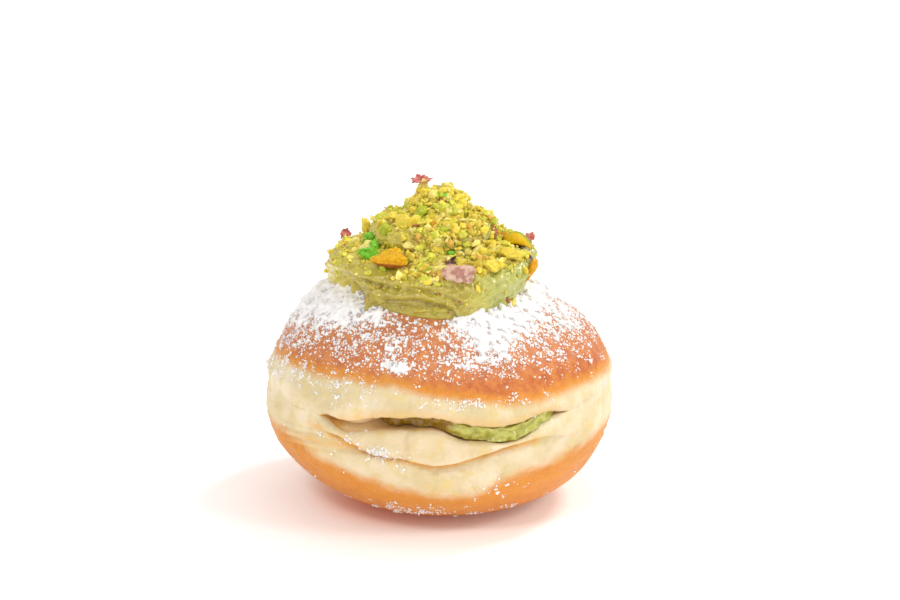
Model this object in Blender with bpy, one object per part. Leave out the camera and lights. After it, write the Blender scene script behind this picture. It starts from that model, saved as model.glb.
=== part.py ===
"""A round filled doughnut with a swirl of nut cream and chopped nuts on top, at real size.

+Z is up and the slit in the belt faces -Y. The origin is the middle of the whole outline,
on the surface that the bun stands on. Lengths below are in millimetres and angles in
degrees; the azimuth is 0 at the front (-Y) and grows towards +X.
"""
import math
import random

import bmesh
import bpy
import numpy as np
from mathutils import Matrix, Vector
from mathutils.bvhtree import BVHTree

MM = 0.001
FIT_GAP = 0.35          # clear space between neighbouring pieces

# Bun: one turned outline, full at the waist, with a small flat spot to stand on.
BUN_RADIUS = 44.8
BUN_TOP = 63.4
WAIST_HEIGHT = 29.3
FLAT_RADIUS = 17.0
CROWN_ROUNDNESS = 1.93  # exponents of the outline, 2 is an ellipse
BASE_ROUNDNESS = 2.3
CROWN_LEAN = -2.1       # the crown sits this far to the left
BASE_LEAN = 1.5         # and the bottom this far to the right

# Slit and pocket: a flat pocket cut in from the front, open along the belt.
POCKET_HEIGHT = 29.9
POCKET_HALF_DEPTH = 3.6
POCKET_RADIUS = 31.0
MOUTH_REACH = 19.0      # how far the pocket runs on past its radius at the mouth
MOUTH_AZIMUTH = 13.0
MOUTH_HALF_ANGLE = 59.0
MOUTH_RISE = 2.6        # its ends lie this much higher than its middle
POCKET_EDGE = 4.0       # how blunt the pocket's edge is, and the filling's
FILLING_EDGE = 4.0
FILLING_SETBACK = 1.2   # the filling stops this far inside the lips

# Cream swirl: three tiers on the crown, sitting a little to the front and left.
CREAM_CENTRE = (-2.5, -2.3)
CREAM_TIP = (0.4, -0.6)
CREAM_FOOT_HEIGHT = 56.2
CREAM_OUTLINE = ((25.4, 56.2), (26.7, 59.0), (26.9, 62.0), (26.1, 65.2), (23.4, 67.6),
                 (19.2, 69.3), (16.3, 70.3), (16.2, 72.4), (14.4, 74.5), (11.2, 75.5), (8.4, 76.0),
                 (7.7, 78.0), (6.2, 80.1), (3.6, 81.9), (0.0, 82.6))
TIER_BULGE = 0.9
TIER_STARTS = (0.0, 0.48, 0.74, 1.0)   # shares of the outline at the creases between the tiers
# How far the lowest tier's rim stands out or in: azimuth, reach round, millimetres.
RIM_SWELLS = ((82.0, 36.0, 1.7), (-98.0, 26.0, 0.8), (0.0, 38.0, -1.0))
RIM_SHARE, RIM_REACH = 0.20, 0.12      # where that rim lies along the outline

# Crumbs of chopped nut, scattered by a sunflower rule over the top of the swirl.
CRUMB_COUNT = 100
CRUMB_SPREAD = 22.0
CRUMB_SIZE = (1.7, 3.4)
CRUMB_SEED = 7

# Larger bits that are part of the heap: azimuth, height, and size along, across, thick.
NUT_BITS = (
    (-81.0, 70.6, 3.4, 2.8, 2.6),
    (-47.5, 67.8, 5.4, 4.8, 3.4),
    (-21.0, 76.6, 2.8, 4.9, 2.4),
    (-37.0, 73.6, 5.6, 4.6, 3.0),
    (34.0, 65.8, 4.0, 4.4, 2.8),
    (53.5, 67.8, 5.6, 5.2, 3.4),
    (66.8, 62.6, 2.6, 4.8, 2.2),
)
# Dried petals: azimuth, height, length, width, and the angle that each stands up by.
PETALS = (
    (-115.0, 81.4, 4.4, 3.2, 50.0),
    (-92.0, 67.9, 3.6, 2.4, 75.0),
    (12.0, 64.6, 6.6, 4.0, 15.0),
)
PETAL_THICKNESS = 0.4

# The two nuts that are pieces of their own: azimuth, height, turn about the way out.
KERNEL_SIZE = (8.4, 5.0, 4.2)
KERNEL_PLACE = (82.0, 68.6, 100.0)
SLICE_SIZE = (9.0, 5.4, 2.2)
SLICE_PLACE = (-27.0, 68.3, 8.0)
NUT_SINK = 0.4

COLOURS = {
    "bun": (0.80, 0.42, 0.16),
    "filling": (0.46, 0.47, 0.13),
    "cream": (0.42, 0.40, 0.11),
    "nut_kernel": (0.60, 0.50, 0.06),
    "nut_slice": (0.74, 0.40, 0.03),
}
ROUGHNESS = {"bun": 0.6, "filling": 0.45, "cream": 0.4, "nut_kernel": 0.5, "nut_slice": 0.5}


# ---------------------------------------------------------------- small helpers

def bell(x, width):
    """A smooth bump of height 1 at x = 0."""
    return np.exp(-np.square(x / width))


def ramp(x, start, end):
    """0 before start, 1 after end, smooth between."""
    t = np.clip((x - start) / (end - start), 0.0, 1.0)
    return t * t * (3.0 - 2.0 * t)


def wrap(angle):
    """An angle brought between -180 and 180 degrees."""
    return (angle + 180.0) % 360.0 - 180.0


def principled(name, colour, roughness):
    material = bpy.data.materials.new(name)
    material.use_nodes = True
    shader = material.node_tree.nodes["Principled BSDF"]
    shader.inputs["Base Color"].default_value = (*colour, 1.0)
    shader.inputs["Roughness"].default_value = roughness
    shader.inputs["Metallic"].default_value = 0.0
    return material


def add_object(name, mesh, collection=None):
    piece = bpy.data.objects.new(name, mesh)
    (collection or bpy.context.scene.collection).objects.link(piece)
    mesh.shade_smooth()
    return piece


def ring_mesh(name, rings):
    """A closed skin through rings of points (bottom to top), each end drawn to its middle."""
    columns = len(rings[0])
    points = [Vector(rings[0].mean(axis=0))]
    points += [Vector(point) for ring in rings for point in ring]
    points.append(Vector(rings[-1].mean(axis=0)))
    faces = []
    last = len(points) - 1
    top = last - columns
    for column in range(columns):
        after = (column + 1) % columns
        faces.append((0, 1 + after, 1 + column))
        faces.append((last, top + column, top + after))
        for row in range(len(rings) - 1):
            low = 1 + row * columns
            high = low + columns
            faces.append((low + column, low + after, high + after, high + column))
    mesh = bpy.data.meshes.new(name)
    mesh.from_pydata([point * MM for point in points], [], faces)
    mesh.validate()
    return mesh


def around(azimuth, radius, height, centre=(0.0, 0.0)):
    """Points at an azimuth and radius from a centre, at a height."""
    angle = np.radians(azimuth)
    east = centre[0] + radius * np.sin(angle)
    north = centre[1] - radius * np.cos(angle)
    return np.stack([east, north, height + 0.0 * east], axis=-1)


# ---------------------------------------------------------------- bun

def bun_radius(height):
    """The plain outline: its radius at a height above the table."""
    crown = BUN_TOP - WAIST_HEIGHT
    base = WAIST_HEIGHT / (1 - (FLAT_RADIUS / BUN_RADIUS) ** BASE_ROUNDNESS) ** (1 / BASE_ROUNDNESS)
    above = np.clip((height - WAIST_HEIGHT) / crown, 0.0, 1.0)
    below = np.clip((WAIST_HEIGHT - height) / base, 0.0, 1.0)
    upper = (1 - above ** CROWN_ROUNDNESS) ** (1 / CROWN_ROUNDNESS)
    lower = (1 - below ** BASE_ROUNDNESS) ** (1 / BASE_ROUNDNESS)
    return BUN_RADIUS * np.where(height > WAIST_HEIGHT, upper, lower)


def crown_height(radius):
    """The plain outline the other way round, for what lies on the crown."""
    share = (1 - (radius / BUN_RADIUS) ** CROWN_ROUNDNESS) ** (1 / CROWN_ROUNDNESS)
    return WAIST_HEIGHT + (BUN_TOP - WAIST_HEIGHT) * share


def bun_lean(height):
    """How far the outline's middle lies to the side at a height."""
    return CROWN_LEAN * ramp(height, 41.0, 56.0) + BASE_LEAN * ramp(20.0 - height, 0.0, 18.0)


def tongue_crease(azimuth):
    """Height of the crease under the tongue of dough below the slit."""
    off_middle = np.clip(azimuth + 5.0, -45.0, 45.0) / 36.0
    return 22.3 + 3.8 * off_middle * off_middle + 1.4 * ramp(azimuth, 0.0, 18.0)


def bun_relief(azimuth, height):
    """What the soft dough adds to the plain outline: belt, seam, tongue, creases, unevenness."""
    azimuth = wrap(azimuth)
    front = ramp(azimuth, -62.0, -44.0) * ramp(-azimuth, -62.0, -44.0)
    relief = 0.5 * bell(height - 35.3, 2.6) + 0.25 * bell(height - 25.0, 5.0)
    relief -= 0.8 * bell(height - 31.5, 1.3) * (1.0 - 0.6 * front)
    crease = tongue_crease(azimuth)
    relief += front * (0.8 * bell(height - crease - 3.8, 2.2) - 1.2 * bell(height - crease, 1.6))
    relief += 0.35 * np.sin(np.radians(3.0 * azimuth + 40.0)) * bell(height - 24.0, 12.0)
    relief += 0.3 * np.sin(np.radians(2.0 * azimuth - 70.0)) * bell(height - 43.0, 7.0)
    return relief * ramp(height, 0.0, 6.0)


def bun_columns():
    """Azimuths of the bun's columns, closer together at the front where the slit is."""
    count = 60
    turn = np.linspace(0.0, 360.0, count, endpoint=False)
    return wrap(turn - 26.0 * np.sin(np.radians(turn)))


def bun_rows():
    """Heights of the bun's rows, closer together along the belt."""
    dense = np.linspace(0.0, BUN_TOP, 600)
    radius = bun_radius(dense)
    length = np.concatenate([[0.0], np.cumsum(np.hypot(np.diff(dense), np.diff(radius)))])
    weight = 1.0 + 1.6 * bell(dense - 27.0, 9.0)
    spent = np.concatenate([[0.0], np.cumsum(np.diff(length) * weight[1:])])
    shares = np.linspace(0.0, 0.985, 28) * spent[-1]
    return np.interp(shares, spent, dense)


def bun_solid():
    azimuth = bun_columns()
    rings = []
    for height in bun_rows():
        radius = bun_radius(np.float64(height)) + bun_relief(azimuth, height)
        rings.append(around(azimuth, radius, height, (float(bun_lean(height)), 0.0)))
    return ring_mesh("bun", rings)


# ---------------------------------------------------------------- pocket and filling

def mouth_window(azimuth):
    """1 in the middle of the mouth, 0 where the slit has closed."""
    across = np.clip(wrap(azimuth - MOUTH_AZIMUTH) / MOUTH_HALF_ANGLE, -1.0, 1.0)
    return 1.0 - across * across


def lens_solid(name, reach, half_depth, edge_power):
    """A flat lens round the axis: reach at each azimuth, half depth in the middle."""
    azimuth = np.linspace(-180.0, 180.0, 48, endpoint=False)
    edge = reach(azimuth)
    middle = POCKET_HEIGHT + MOUTH_RISE * (1.0 - mouth_window(azimuth)) * ramp(edge, 25.0, 42.0)
    rings = []
    for turn in range(18, 180, 12):
        share = math.sin(math.radians(turn))
        side = math.copysign((1.0 - share ** edge_power) ** 0.5, turn - 90)
        height = POCKET_HEIGHT + (middle - POCKET_HEIGHT) * share ** 2 + side * half_depth
        rings.append(around(azimuth, share * edge, height))
    return ring_mesh(name, rings)


def pocket_reach(azimuth):
    return POCKET_RADIUS + MOUTH_REACH * mouth_window(azimuth)


def filling_reach(azimuth):
    lip = bun_radius(np.float64(POCKET_HEIGHT)) - FILLING_SETBACK
    return np.minimum(pocket_reach(azimuth) - FIT_GAP - 0.4, lip)


def filling_solid():
    return lens_solid("filling", filling_reach, POCKET_HALF_DEPTH - FIT_GAP, FILLING_EDGE)


def cut_pocket(bun):
    cutter = add_object("pocket", lens_solid("pocket", pocket_reach, POCKET_HALF_DEPTH, POCKET_EDGE))
    cutter.hide_render = True
    cutter.display_type = "WIRE"
    boolean = bun.modifiers.new("pocket", "BOOLEAN")
    boolean.operation = "DIFFERENCE"
    boolean.object = cutter


# ---------------------------------------------------------------- cream swirl

def cream_outline(share):
    """The swirl's side outline without its tiers: radius and height, share 0 low, 1 at the tip."""
    points = np.array(CREAM_OUTLINE)
    length = np.concatenate([[0.0], np.cumsum(np.hypot(*np.diff(points, axis=0).T))])
    place = share * length[-1]
    return np.interp(place, length, points[:, 0]), np.interp(place, length, points[:, 1])


def swirl_centre(share):
    """The swirl's middle, which wanders from over its foot to the tip."""
    move = float(ramp(share, 0.3, 1.0))
    return [foot + (tip - foot) * move for foot, tip in zip(CREAM_CENTRE, CREAM_TIP)]


def on_crown(points):
    """Heights just clear of the bun's crown, under points given by their plan place."""
    radius = np.hypot(points[:, 0] - CROWN_LEAN, points[:, 1])
    return crown_height(radius) + 2.0 * FIT_GAP


def cream_rings(rows, columns):
    """Rings of the swirl's skin; the tiers step up one level round the back, as piped."""
    azimuth = np.linspace(-180.0, 180.0, columns, endpoint=False)
    step = 0.5 * ramp(azimuth, 110.0, 180.0) - 0.5 * ramp(-azimuth, 110.0, 180.0)
    rings = []
    for share in np.linspace(0.0, 0.97, rows):
        radius, height = cream_outline(share)
        near_foot = 1.0 - ramp(share, 0.05, 0.35)
        tier = np.interp(share, TIER_STARTS, range(len(TIER_STARTS))) - step
        bulge = TIER_BULGE * (np.abs(np.sin(np.pi * tier)) - 0.6) * ramp(share, 0.06, 0.2)
        bulge = bulge * (1.0 - ramp(share, 0.8, 1.0))
        for place, width, swell in RIM_SWELLS:
            bulge = bulge + swell * bell(wrap(azimuth - place), width) * bell(share - RIM_SHARE, RIM_REACH)
        bulge = bulge - 3.0 * bell(azimuth + 46.0, 15.0) * near_foot
        bulge = bulge - 2.2 * bell(azimuth - 85.0, 38.0) * (1.0 - ramp(share, 0.0, 0.12))
        sway = 0.6 * np.sin(np.radians(azimuth + 200.0 * share)) * math.sin(math.pi * share)
        ring = around(azimuth, radius + bulge + sway, height + 0.4 * bulge, swirl_centre(share))
        if not rings:
            foot_drop = on_crown(ring) - CREAM_FOOT_HEIGHT
        ring[:, 2] += foot_drop * near_foot
        rings.append(ring)
    rings[0][:, 2] = on_crown(rings[0])
    return rings


def cream_mesh():
    """The swirl without its nuts, standing just clear of the crown it was piped on."""
    rings = cream_rings(24, 44)
    middle = rings[0].mean(axis=0)
    under = []
    for share in (0.08, 0.4, 0.75):
        ring = middle + (rings[0] - middle) * share
        ring[:, 2] = on_crown(ring)
        under.append(ring)
    return ring_mesh("cream", under + rings)


# ---------------------------------------------------------------- nuts and petals

def spot_outward(tree, azimuth, height):
    """The swirl's surface at an azimuth and height, and the way it faces there."""
    away = Vector((math.sin(math.radians(azimuth)), -math.cos(math.radians(azimuth)), 0.0))
    start = Vector((CREAM_CENTRE[0], CREAM_CENTRE[1], height)) * MM + away * 50.0 * MM
    place, normal, _, _ = tree.ray_cast(start, -away)
    return place, normal


def spot_below(tree, east, north):
    """The swirl's surface straight below a place, and the way it faces there."""
    start = Vector((east, north, 120.0)) * MM
    place, normal, _, _ = tree.ray_cast(start, Vector((0.0, 0.0, -1.0)))
    return place, normal


def seat(place, normal, turn, lift):
    """A transform that stands a shape on the surface, turned about the way it faces."""
    facing = Vector(normal).to_track_quat("Z", "Y").to_matrix().to_4x4()
    spin = Matrix.Rotation(math.radians(turn), 4, "Z")
    return Matrix.Translation(Vector(place) + Vector(normal) * lift * MM) @ facing @ spin


def nut_bit(name, size, place, normal, rng, collection):
    """An angular crumb: a knocked-about icosahedron pressed into the cream."""
    shape = bmesh.new()
    bmesh.ops.create_icosphere(shape, subdivisions=1, radius=0.5 * MM)
    for vertex in shape.verts:
        vertex.co *= rng.uniform(0.85, 1.2)
    shape.transform(Matrix.Diagonal((*size, 1.0)))
    shape.transform(seat(place, normal, rng.uniform(0.0, 360.0), 0.15 * size[2]))
    mesh = bpy.data.meshes.new(name)
    shape.to_mesh(mesh)
    shape.free()
    return add_object(name, mesh, collection)


def petal(name, length, width, transform, collection):
    """A dried petal flake: a thin wavy slab, both faces split alike."""
    along, across = 5, 4
    sheet = []
    for row in range(along):
        for column in range(across):
            u = row / (along - 1) - 0.5
            v = column / (across - 1) - 0.5
            wave = 0.5 * math.sin(5.0 * u + 4.0 * v) + 1.2 * v * v
            sheet.append(Vector((u * length, v * width * (1.0 - 1.2 * u * u), wave)))
    up = Vector((0.0, 0.0, 0.5 * PETAL_THICKNESS))
    points = [point + up for point in sheet] + [point - up for point in sheet]
    under = along * across
    faces = []
    for row in range(along - 1):
        for column in range(across - 1):
            a = row * across + column
            b, c, d = a + 1, a + across + 1, a + across
            faces += [(a, d, c), (a, c, b)]
            faces += [(under + a, under + c, under + d), (under + a, under + b, under + c)]
    border = list(range(across))
    border += [row * across + across - 1 for row in range(1, along)]
    border += [(along - 1) * across + column for column in range(across - 2, -1, -1)]
    border += [row * across for row in range(along - 2, 0, -1)]
    for here, after in zip(border, border[1:] + border[:1]):
        faces.append((here, after, under + after, under + here))
    mesh = bpy.data.meshes.new(name)
    mesh.from_pydata([point * MM for point in points], [], faces)
    mesh.transform(transform)
    return add_object(name, mesh, collection)


def kernel_mesh(name, grow=0.0):
    """Half a nut kernel: an egg with one side cut flat, bent a little along its length."""
    shape = bmesh.new()
    bmesh.ops.create_uvsphere(shape, u_segments=14, v_segments=9, radius=1.0)
    half = [0.5 * size + grow for size in KERNEL_SIZE]
    for vertex in shape.verts:
        along, across, thick = vertex.co
        thick = max(thick, -0.45)
        bend = 0.9 * along * along
        vertex.co = Vector((along * half[0], across * half[1] - bend, thick * half[2])) * MM
    mesh = bpy.data.meshes.new(name)
    shape.to_mesh(mesh)
    shape.free()
    return mesh


def slice_mesh(name, grow=0.0):
    """A sliver of nut: a rounded three-cornered plate, thinner towards its long edge."""
    length, width, thick = [size + 2.0 * grow for size in SLICE_SIZE]
    shape = bmesh.new()
    corners = 20
    for level in (-0.5, 0.5):
        ring = []
        for corner in range(corners):
            angle = math.tau * corner / corners
            pull = 1.0 + 0.22 * math.cos(3.0 * (angle - math.pi / 2.0))
            taper = 1.0 - 0.35 * math.cos(angle - math.pi / 2.0)
            ring.append(shape.verts.new(Vector((0.5 * length * pull * math.cos(angle),
                                                0.5 * width * pull * math.sin(angle),
                                                level * thick * taper)) * MM))
        shape.faces.new(ring if level > 0 else ring[::-1])
    shape.verts.ensure_lookup_table()
    for corner in range(corners):
        after = (corner + 1) % corners
        shape.faces.new([shape.verts[corner], shape.verts[after],
                         shape.verts[corners + after], shape.verts[corners + corner]])
    mesh = bpy.data.meshes.new(name)
    shape.to_mesh(mesh)
    shape.free()
    return mesh


def add_nut(name, make_mesh, placing, thick, cream, tree):
    """A nut of its own, seated in a socket that is cut clear of it in the cream."""
    azimuth, height, turn = placing
    place, normal = spot_outward(tree, azimuth, height)
    transform = seat(place, normal, turn, (0.5 - NUT_SINK) * thick)
    nut = add_object(name, make_mesh(name))
    cutter = add_object(name + "_socket", make_mesh(name + "_socket", FIT_GAP))
    for piece in (nut, cutter):
        piece.data.transform(transform)
    cutter.hide_render = True
    cutter.display_type = "WIRE"
    boolean = cream.modifiers.new(name, "BOOLEAN")
    boolean.operation = "DIFFERENCE"
    boolean.object = cutter
    return place


def fuse_toppings(cream, tree, keep_clear):
    """Joins the crumbs, the larger bits and the petals to the swirl as one body."""
    rng = random.Random(CRUMB_SEED)
    heap = bpy.data.collections.new("toppings")
    bpy.context.scene.collection.children.link(heap)
    taken = list(keep_clear)
    for azimuth, height, *size in NUT_BITS:
        place, normal = spot_outward(tree, azimuth, height)
        nut_bit("bit", size, place, normal, rng, heap)
    for azimuth, height, length, width, lean in PETALS:
        place, normal = spot_outward(tree, azimuth, height)
        tilt = Matrix.Rotation(math.radians(lean), 4, "X")
        petal("petal", length, width, seat(place, normal, 0.0, 0.3) @ tilt, heap)
    for number in range(CRUMB_COUNT):
        radius = CRUMB_SPREAD * math.sqrt((number + 0.5) / CRUMB_COUNT)
        turn = number * math.pi * (3.0 - math.sqrt(5.0))
        east = CREAM_CENTRE[0] * radius / CRUMB_SPREAD + radius * math.sin(turn)
        north = CREAM_CENTRE[1] * radius / CRUMB_SPREAD - radius * math.cos(turn)
        place, normal = spot_below(tree, east, north)
        if any((place - other).length < 6.0 * MM for other in taken):
            continue
        low, high = CRUMB_SIZE
        size = low + (high - low) * rng.random() ** 2
        nut_bit("crumb", (size, size * 0.85, size * 0.8), place, normal, rng, heap)
    union = cream.modifiers.new("toppings", "BOOLEAN")
    union.operation = "UNION"
    union.operand_type = "COLLECTION"
    union.collection = heap
    bake_modifiers(cream)
    for piece in list(heap.objects):
        bpy.data.objects.remove(piece)
    bpy.data.collections.remove(heap)


def bake_modifiers(piece):
    """Replaces an object's mesh by what its modifiers make of it."""
    evaluated = piece.evaluated_get(bpy.context.evaluated_depsgraph_get())
    mesh = bpy.data.meshes.new_from_object(evaluated)
    piece.modifiers.clear()
    piece.data = mesh


# ---------------------------------------------------------------- the whole object

def main():
    for leftover in list(bpy.data.objects):
        bpy.data.objects.remove(leftover)

    bun = add_object("bun", bun_solid())
    cut_pocket(bun)
    add_object("filling", filling_solid())

    cream = add_object("cream", cream_mesh())
    tree = BVHTree.FromObject(cream, bpy.context.evaluated_depsgraph_get())
    nut_places = [spot_outward(tree, *placing[:2])[0] for placing in (KERNEL_PLACE, SLICE_PLACE)]
    fuse_toppings(cream, tree, nut_places)
    add_nut("nut_kernel", kernel_mesh, KERNEL_PLACE, KERNEL_SIZE[2], cream, tree)
    add_nut("nut_slice", slice_mesh, SLICE_PLACE, SLICE_SIZE[2], cream, tree)

    for name, colour in COLOURS.items():
        bpy.data.objects[name].data.materials.clear()
        bpy.data.objects[name].data.materials.append(principled(name, colour, ROUGHNESS[name]))


main()
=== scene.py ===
"""The looks of a filled doughnut: dough, icing sugar, nut cream, chopped nuts and petals.

Shapes are worked out in millimetres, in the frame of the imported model: +Z up, the slit
facing -Y. The azimuth is 0 at the front and grows towards +X, in degrees.
"""
import itertools
import math

import bmesh
import bpy
import numpy as np
from mathutils import Matrix, Vector
from mathutils.bvhtree import BVHTree


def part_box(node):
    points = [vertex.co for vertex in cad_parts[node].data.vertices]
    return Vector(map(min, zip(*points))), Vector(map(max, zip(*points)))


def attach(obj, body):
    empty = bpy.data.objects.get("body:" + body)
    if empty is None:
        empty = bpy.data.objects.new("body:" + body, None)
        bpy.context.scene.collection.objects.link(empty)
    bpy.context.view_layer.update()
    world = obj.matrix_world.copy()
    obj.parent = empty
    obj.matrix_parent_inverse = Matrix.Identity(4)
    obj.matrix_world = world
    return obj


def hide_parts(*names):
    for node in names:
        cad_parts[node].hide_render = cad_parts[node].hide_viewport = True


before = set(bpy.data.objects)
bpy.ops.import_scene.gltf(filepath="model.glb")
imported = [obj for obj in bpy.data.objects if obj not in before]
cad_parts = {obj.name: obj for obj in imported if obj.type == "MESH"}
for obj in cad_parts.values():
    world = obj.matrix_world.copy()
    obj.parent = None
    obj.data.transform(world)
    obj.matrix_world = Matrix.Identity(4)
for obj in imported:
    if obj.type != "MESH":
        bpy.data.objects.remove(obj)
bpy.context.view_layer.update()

MM = 0.001

# ---------------------------------------------------------------- driving dimensions

# Bun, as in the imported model.
BUN_RADIUS = 44.8
BUN_TOP = 63.4
WAIST_HEIGHT = 29.3
FLAT_RADIUS = 17.0
CROWN_ROUNDNESS = 1.93
BASE_ROUNDNESS = 2.3
CROWN_LEAN = -2.1
BASE_LEAN = 1.5

# The slit: heights of its two lips round the front, azimuth and height.
UPPER_LIP = ((-46, 32.0), (-41, 32.0), (-30, 31.5), (-24, 32.7), (-19, 33.7), (-4, 34.0), (2, 33.6),
             (5, 32.6), (11, 32.1), (18, 31.2), (26, 31.6), (32, 32.5), (36, 33.2), (42, 32.5),
             (50, 32.6), (66, 33.3), (90, 31.4))
LOWER_LIP = ((-46, 31.9), (-41, 31.6), (-37, 30.0), (-32, 28.8), (-25, 29.4), (-18, 30.1), (-8, 30.8),
             (-2, 30.9), (1, 30.4), (5, 29.1), (8, 28.3), (14, 27.9), (20, 27.1), (24, 27.2),
             (28, 28.0), (32, 29.6), (38, 31.3), (43, 32.3), (50, 32.4), (66, 33.1), (90, 31.2))
SEAM_HEIGHT = 31.2
MOUTH_FROM, MOUTH_TO = -41.0, 43.0
MOUTH_DEPTH = 15.0
# Where the slit is closed, its two sides stay this far apart and run this far in.
SEAM_GAP = 0.004
SEAM_DEPTH = 11.0 * SEAM_GAP
LIP_ROUNDING = 1.6
TONGUE_CREASE = ((-60, 29.4), (-46, 28.8), (-34, 27.7), (-28, 25.7), (-22, 24.2), (-10, 23.6), (-2, 22.3),
                 (4, 22.9), (9, 24.2), (19, 26.2), (28, 27.2), (34, 27.6), (50, 25.6))

# Where the browned crust gives way to the pale belt: azimuth and height.
CROWN_EDGE = ((-180, 37.5), (-120, 38.5), (-72, 40.6), (-40, 41.4), (-16, 41.2), (5, 38.7), (20, 37.0),
              (33, 36.4), (50, 37.6), (78, 36.9), (120, 37.6), (180, 37.5))
BASE_EDGE = ((-180, 22.0), (-120, 22.5), (-70, 24.0), (-54, 22.8), (-40, 19.8), (-24, 16.6), (-9, 14.2),
             (8, 12.4), (15, 14.0), (21, 18.0), (41, 20.2), (70, 23.6), (120, 22.5), (180, 22.0))

# Cream swirl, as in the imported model: the creases between its tiers, and how far each tier
# stands out between them (tier number, millimetres).
CREAM_CENTRE = (-2.5, -2.3)
CREAM_TIP = (0.4, -0.6)
CREAM_CREASES = ((25.0, 56.2), (15.6, 69.2), (7.2, 74.8), (0.0, 80.2))
TIER_BULGES = ((0.0, 2.4), (0.3, 6.0), (0.7, 6.4), (1.0, 4.0), (1.5, 3.7), (2.0, 2.6), (2.5, 2.5),
               (2.85, 3.0))
# How far the foot lies from the swirl's middle, round the bun: azimuth and radius.
FOOT_OUTLINE = ((-180, 25.3), (-125, 26.2), (-104, 26.6), (-90, 25.4), (-74, 22.5), (-62, 21.0), (-54, 20.9),
                (-44, 22.9), (-27, 24.6), (-5, 26.0), (5, 26.6), (19, 26.6), (45, 25.6), (60, 24.8),
                (93, 23.4), (130, 24.6), (180, 25.3))
# How the lowest tier's rim departs from that: azimuth, further out, higher up.
RIM_OUTLINE = ((-180, 0.0, 0.0), (-125, 0.0, 0.0), (-96, -0.3, -0.2), (-64, 0.2, 0.0), (-38, -0.6, -0.7),
               (-12, -1.2, -1.3), (12, -1.2, -1.3), (34, -0.6, -0.6), (58, 0.4, 0.3), (84, 0.4, 0.6),
               (112, 0.6, 0.3), (150, 0.2, 0.0), (180, 0.0, 0.0))
# Teeth that the cream was torn into at its foot: azimuth, length and half width.
CREAM_TEETH = ((-69, 1.7, 3.0), (-57, 2.2, 3.4), (-37, 2.8, 3.4), (47, 0.9, 4.0))

# Two places where one smear of cream overlaps another at the front: azimuth and height.
UPPER_SMEAR = ((-60, 64.4), (-38, 63.6), (-16, 62.6), (-2, 62.2), (10, 60.8), (18, 58.8), (26, 56.0))
LOWER_SMEAR = ((-34, 58.0), (-26, 59.4), (-7, 60.2), (8, 59.0), (13, 57.0), (16, 54.0))

# Golden tan in creases of the belt at the left: azimuth, height, reach round and up, and amount.
# The last is the whole tongue, a little yellower than the belt.
GOLDEN_CREASES = ((-31, 25.2, 6.0, 1.0, 1.0), (-43, 28.6, 3.5, 0.9, 0.8), (-47, 24.4, 9.0, 0.9, 0.8),
                  (-50, 22.0, 9.0, 0.8, 0.7), (-4, 27.4, 24.0, 3.2, 0.16))

# Icing sugar: azimuth, height, reach round and up, and how thick. The first lie in drifts
# on the crown, the others are loose grains alone.
SUGAR_DRIFTS = (
    (-76, 57.5, 34, 3.8, 1.12),
    (-66, 52.5, 34, 4.2, 0.46),
    (-90, 46.0, 26, 4.0, 0.22),
    (-34, 55.5, 12, 2.0, 0.45),
    (-15, 45.4, 5.5, 1.8, 0.45),
    (-16, 50.5, 16, 3.5, 0.15),
    (27, 53.6, 18, 3.0, 1.05),
    (24, 49.4, 13, 2.4, 0.52),
    (16, 46.4, 12, 1.6, 0.34),
    (66, 56.0, 26, 3.6, 0.62),
    (72, 50.0, 30, 4.5, 0.25),
    (128, 56.0, 38, 4.5, 0.95),
    (-136, 56.0, 36, 4.5, 0.90),
    (180, 51.0, 80, 5.5, 0.45),
)
SUGAR_GRAINS = (
    (14, 37.7, 17, 0.8, 2.0),
    (-34, 39.6, 16, 2.4, 0.9),
    (-80, 37.5, 11, 2.6, 0.9),
    (-20, 24.6, 6.0, 2.0, 1.7),
    (-27, 27.5, 4.0, 1.4, 0.8),
    (-8, 6.4, 26, 2.4, 0.6),
    (20, 14.0, 14, 3.0, 0.15),
    (-62, 40.5, 24, 3.0, 0.4),
    (0, 45.0, 180, 3.5, 0.35),
    (-22, 50.0, 50, 5.0, 0.55),
    (34, 45.5, 40, 4.0, 0.30),
    (180, 38.0, 80, 3.0, 0.25),
)
# The grains on the tongue and low at the front whiten the dough between them too.
WHITENING_GRAINS = SUGAR_GRAINS[3:6]
GRAIN_CLUSTERS, GRAIN_COUNT = 2400, 8200
# How far the drifts' underside lies inside the dough.
DRIFT_UNDER = 0.2

# Camera: a short telephoto a little above the bun, 3.84 pixels to the millimetre.
PHOTO_WIDTH, PHOTO_HEIGHT = 900, 600
CAMERA_DISTANCE = 590.0
CAMERA_ELEVATION = 17.0
CAMERA_TARGET_HEIGHT = 32.0
PIXELS_PER_MM = 3.8386
TARGET_PIXEL = (440.0, 374.5)

# The floor, in metres: how far it reaches, how far below the bun it lies, and how its shadow's
# middle is shifted. Its painted light and its colours change with the distance from there:
# it glows less near the bun as painted shadow, and turns warm there as painted bounce light.
FLOOR_REACH, FLOOR_DROP = 4.0, 0.00005
SHADOW_SHIFT = (0.005, 0.0, 0.0)
FLOOR_PAINTED_GLOW = {"From Min": 0.013, "From Max": 0.070, "To Min": 0.11, "To Max": 0.32}
FLOOR_PAINTED_BOUNCE_REACH = {"From Min": 0.012, "From Max": 0.031}
# Colours near the bun and far from it: the near ones are painted shadow and bounce light from the dough.
FLOOR_PAINTED_BOUNCE_COLOURS = (("Base Color", (0.97, 0.50, 0.33), (0.93, 0.91, 0.90)),
                 ("Emission Color", (1.0, 0.30, 0.12), (1.0, 0.93, 0.91)))

# How finely the skins are cut: columns, how far they crowd to the front in degrees, and rows.
BUN_COLUMNS, BUN_LOW_ROWS, BUN_HIGH_ROWS = (416, 26.0), 116, 92
DRIFT_COLUMNS, DRIFT_ROWS = (620, 22.0), 104
FILLING_COLUMNS, FILLING_ROWS = (300, 30.0), 46
CREAM_COLUMNS, CREAM_ROWS = (430, 16.0), 200

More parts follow.
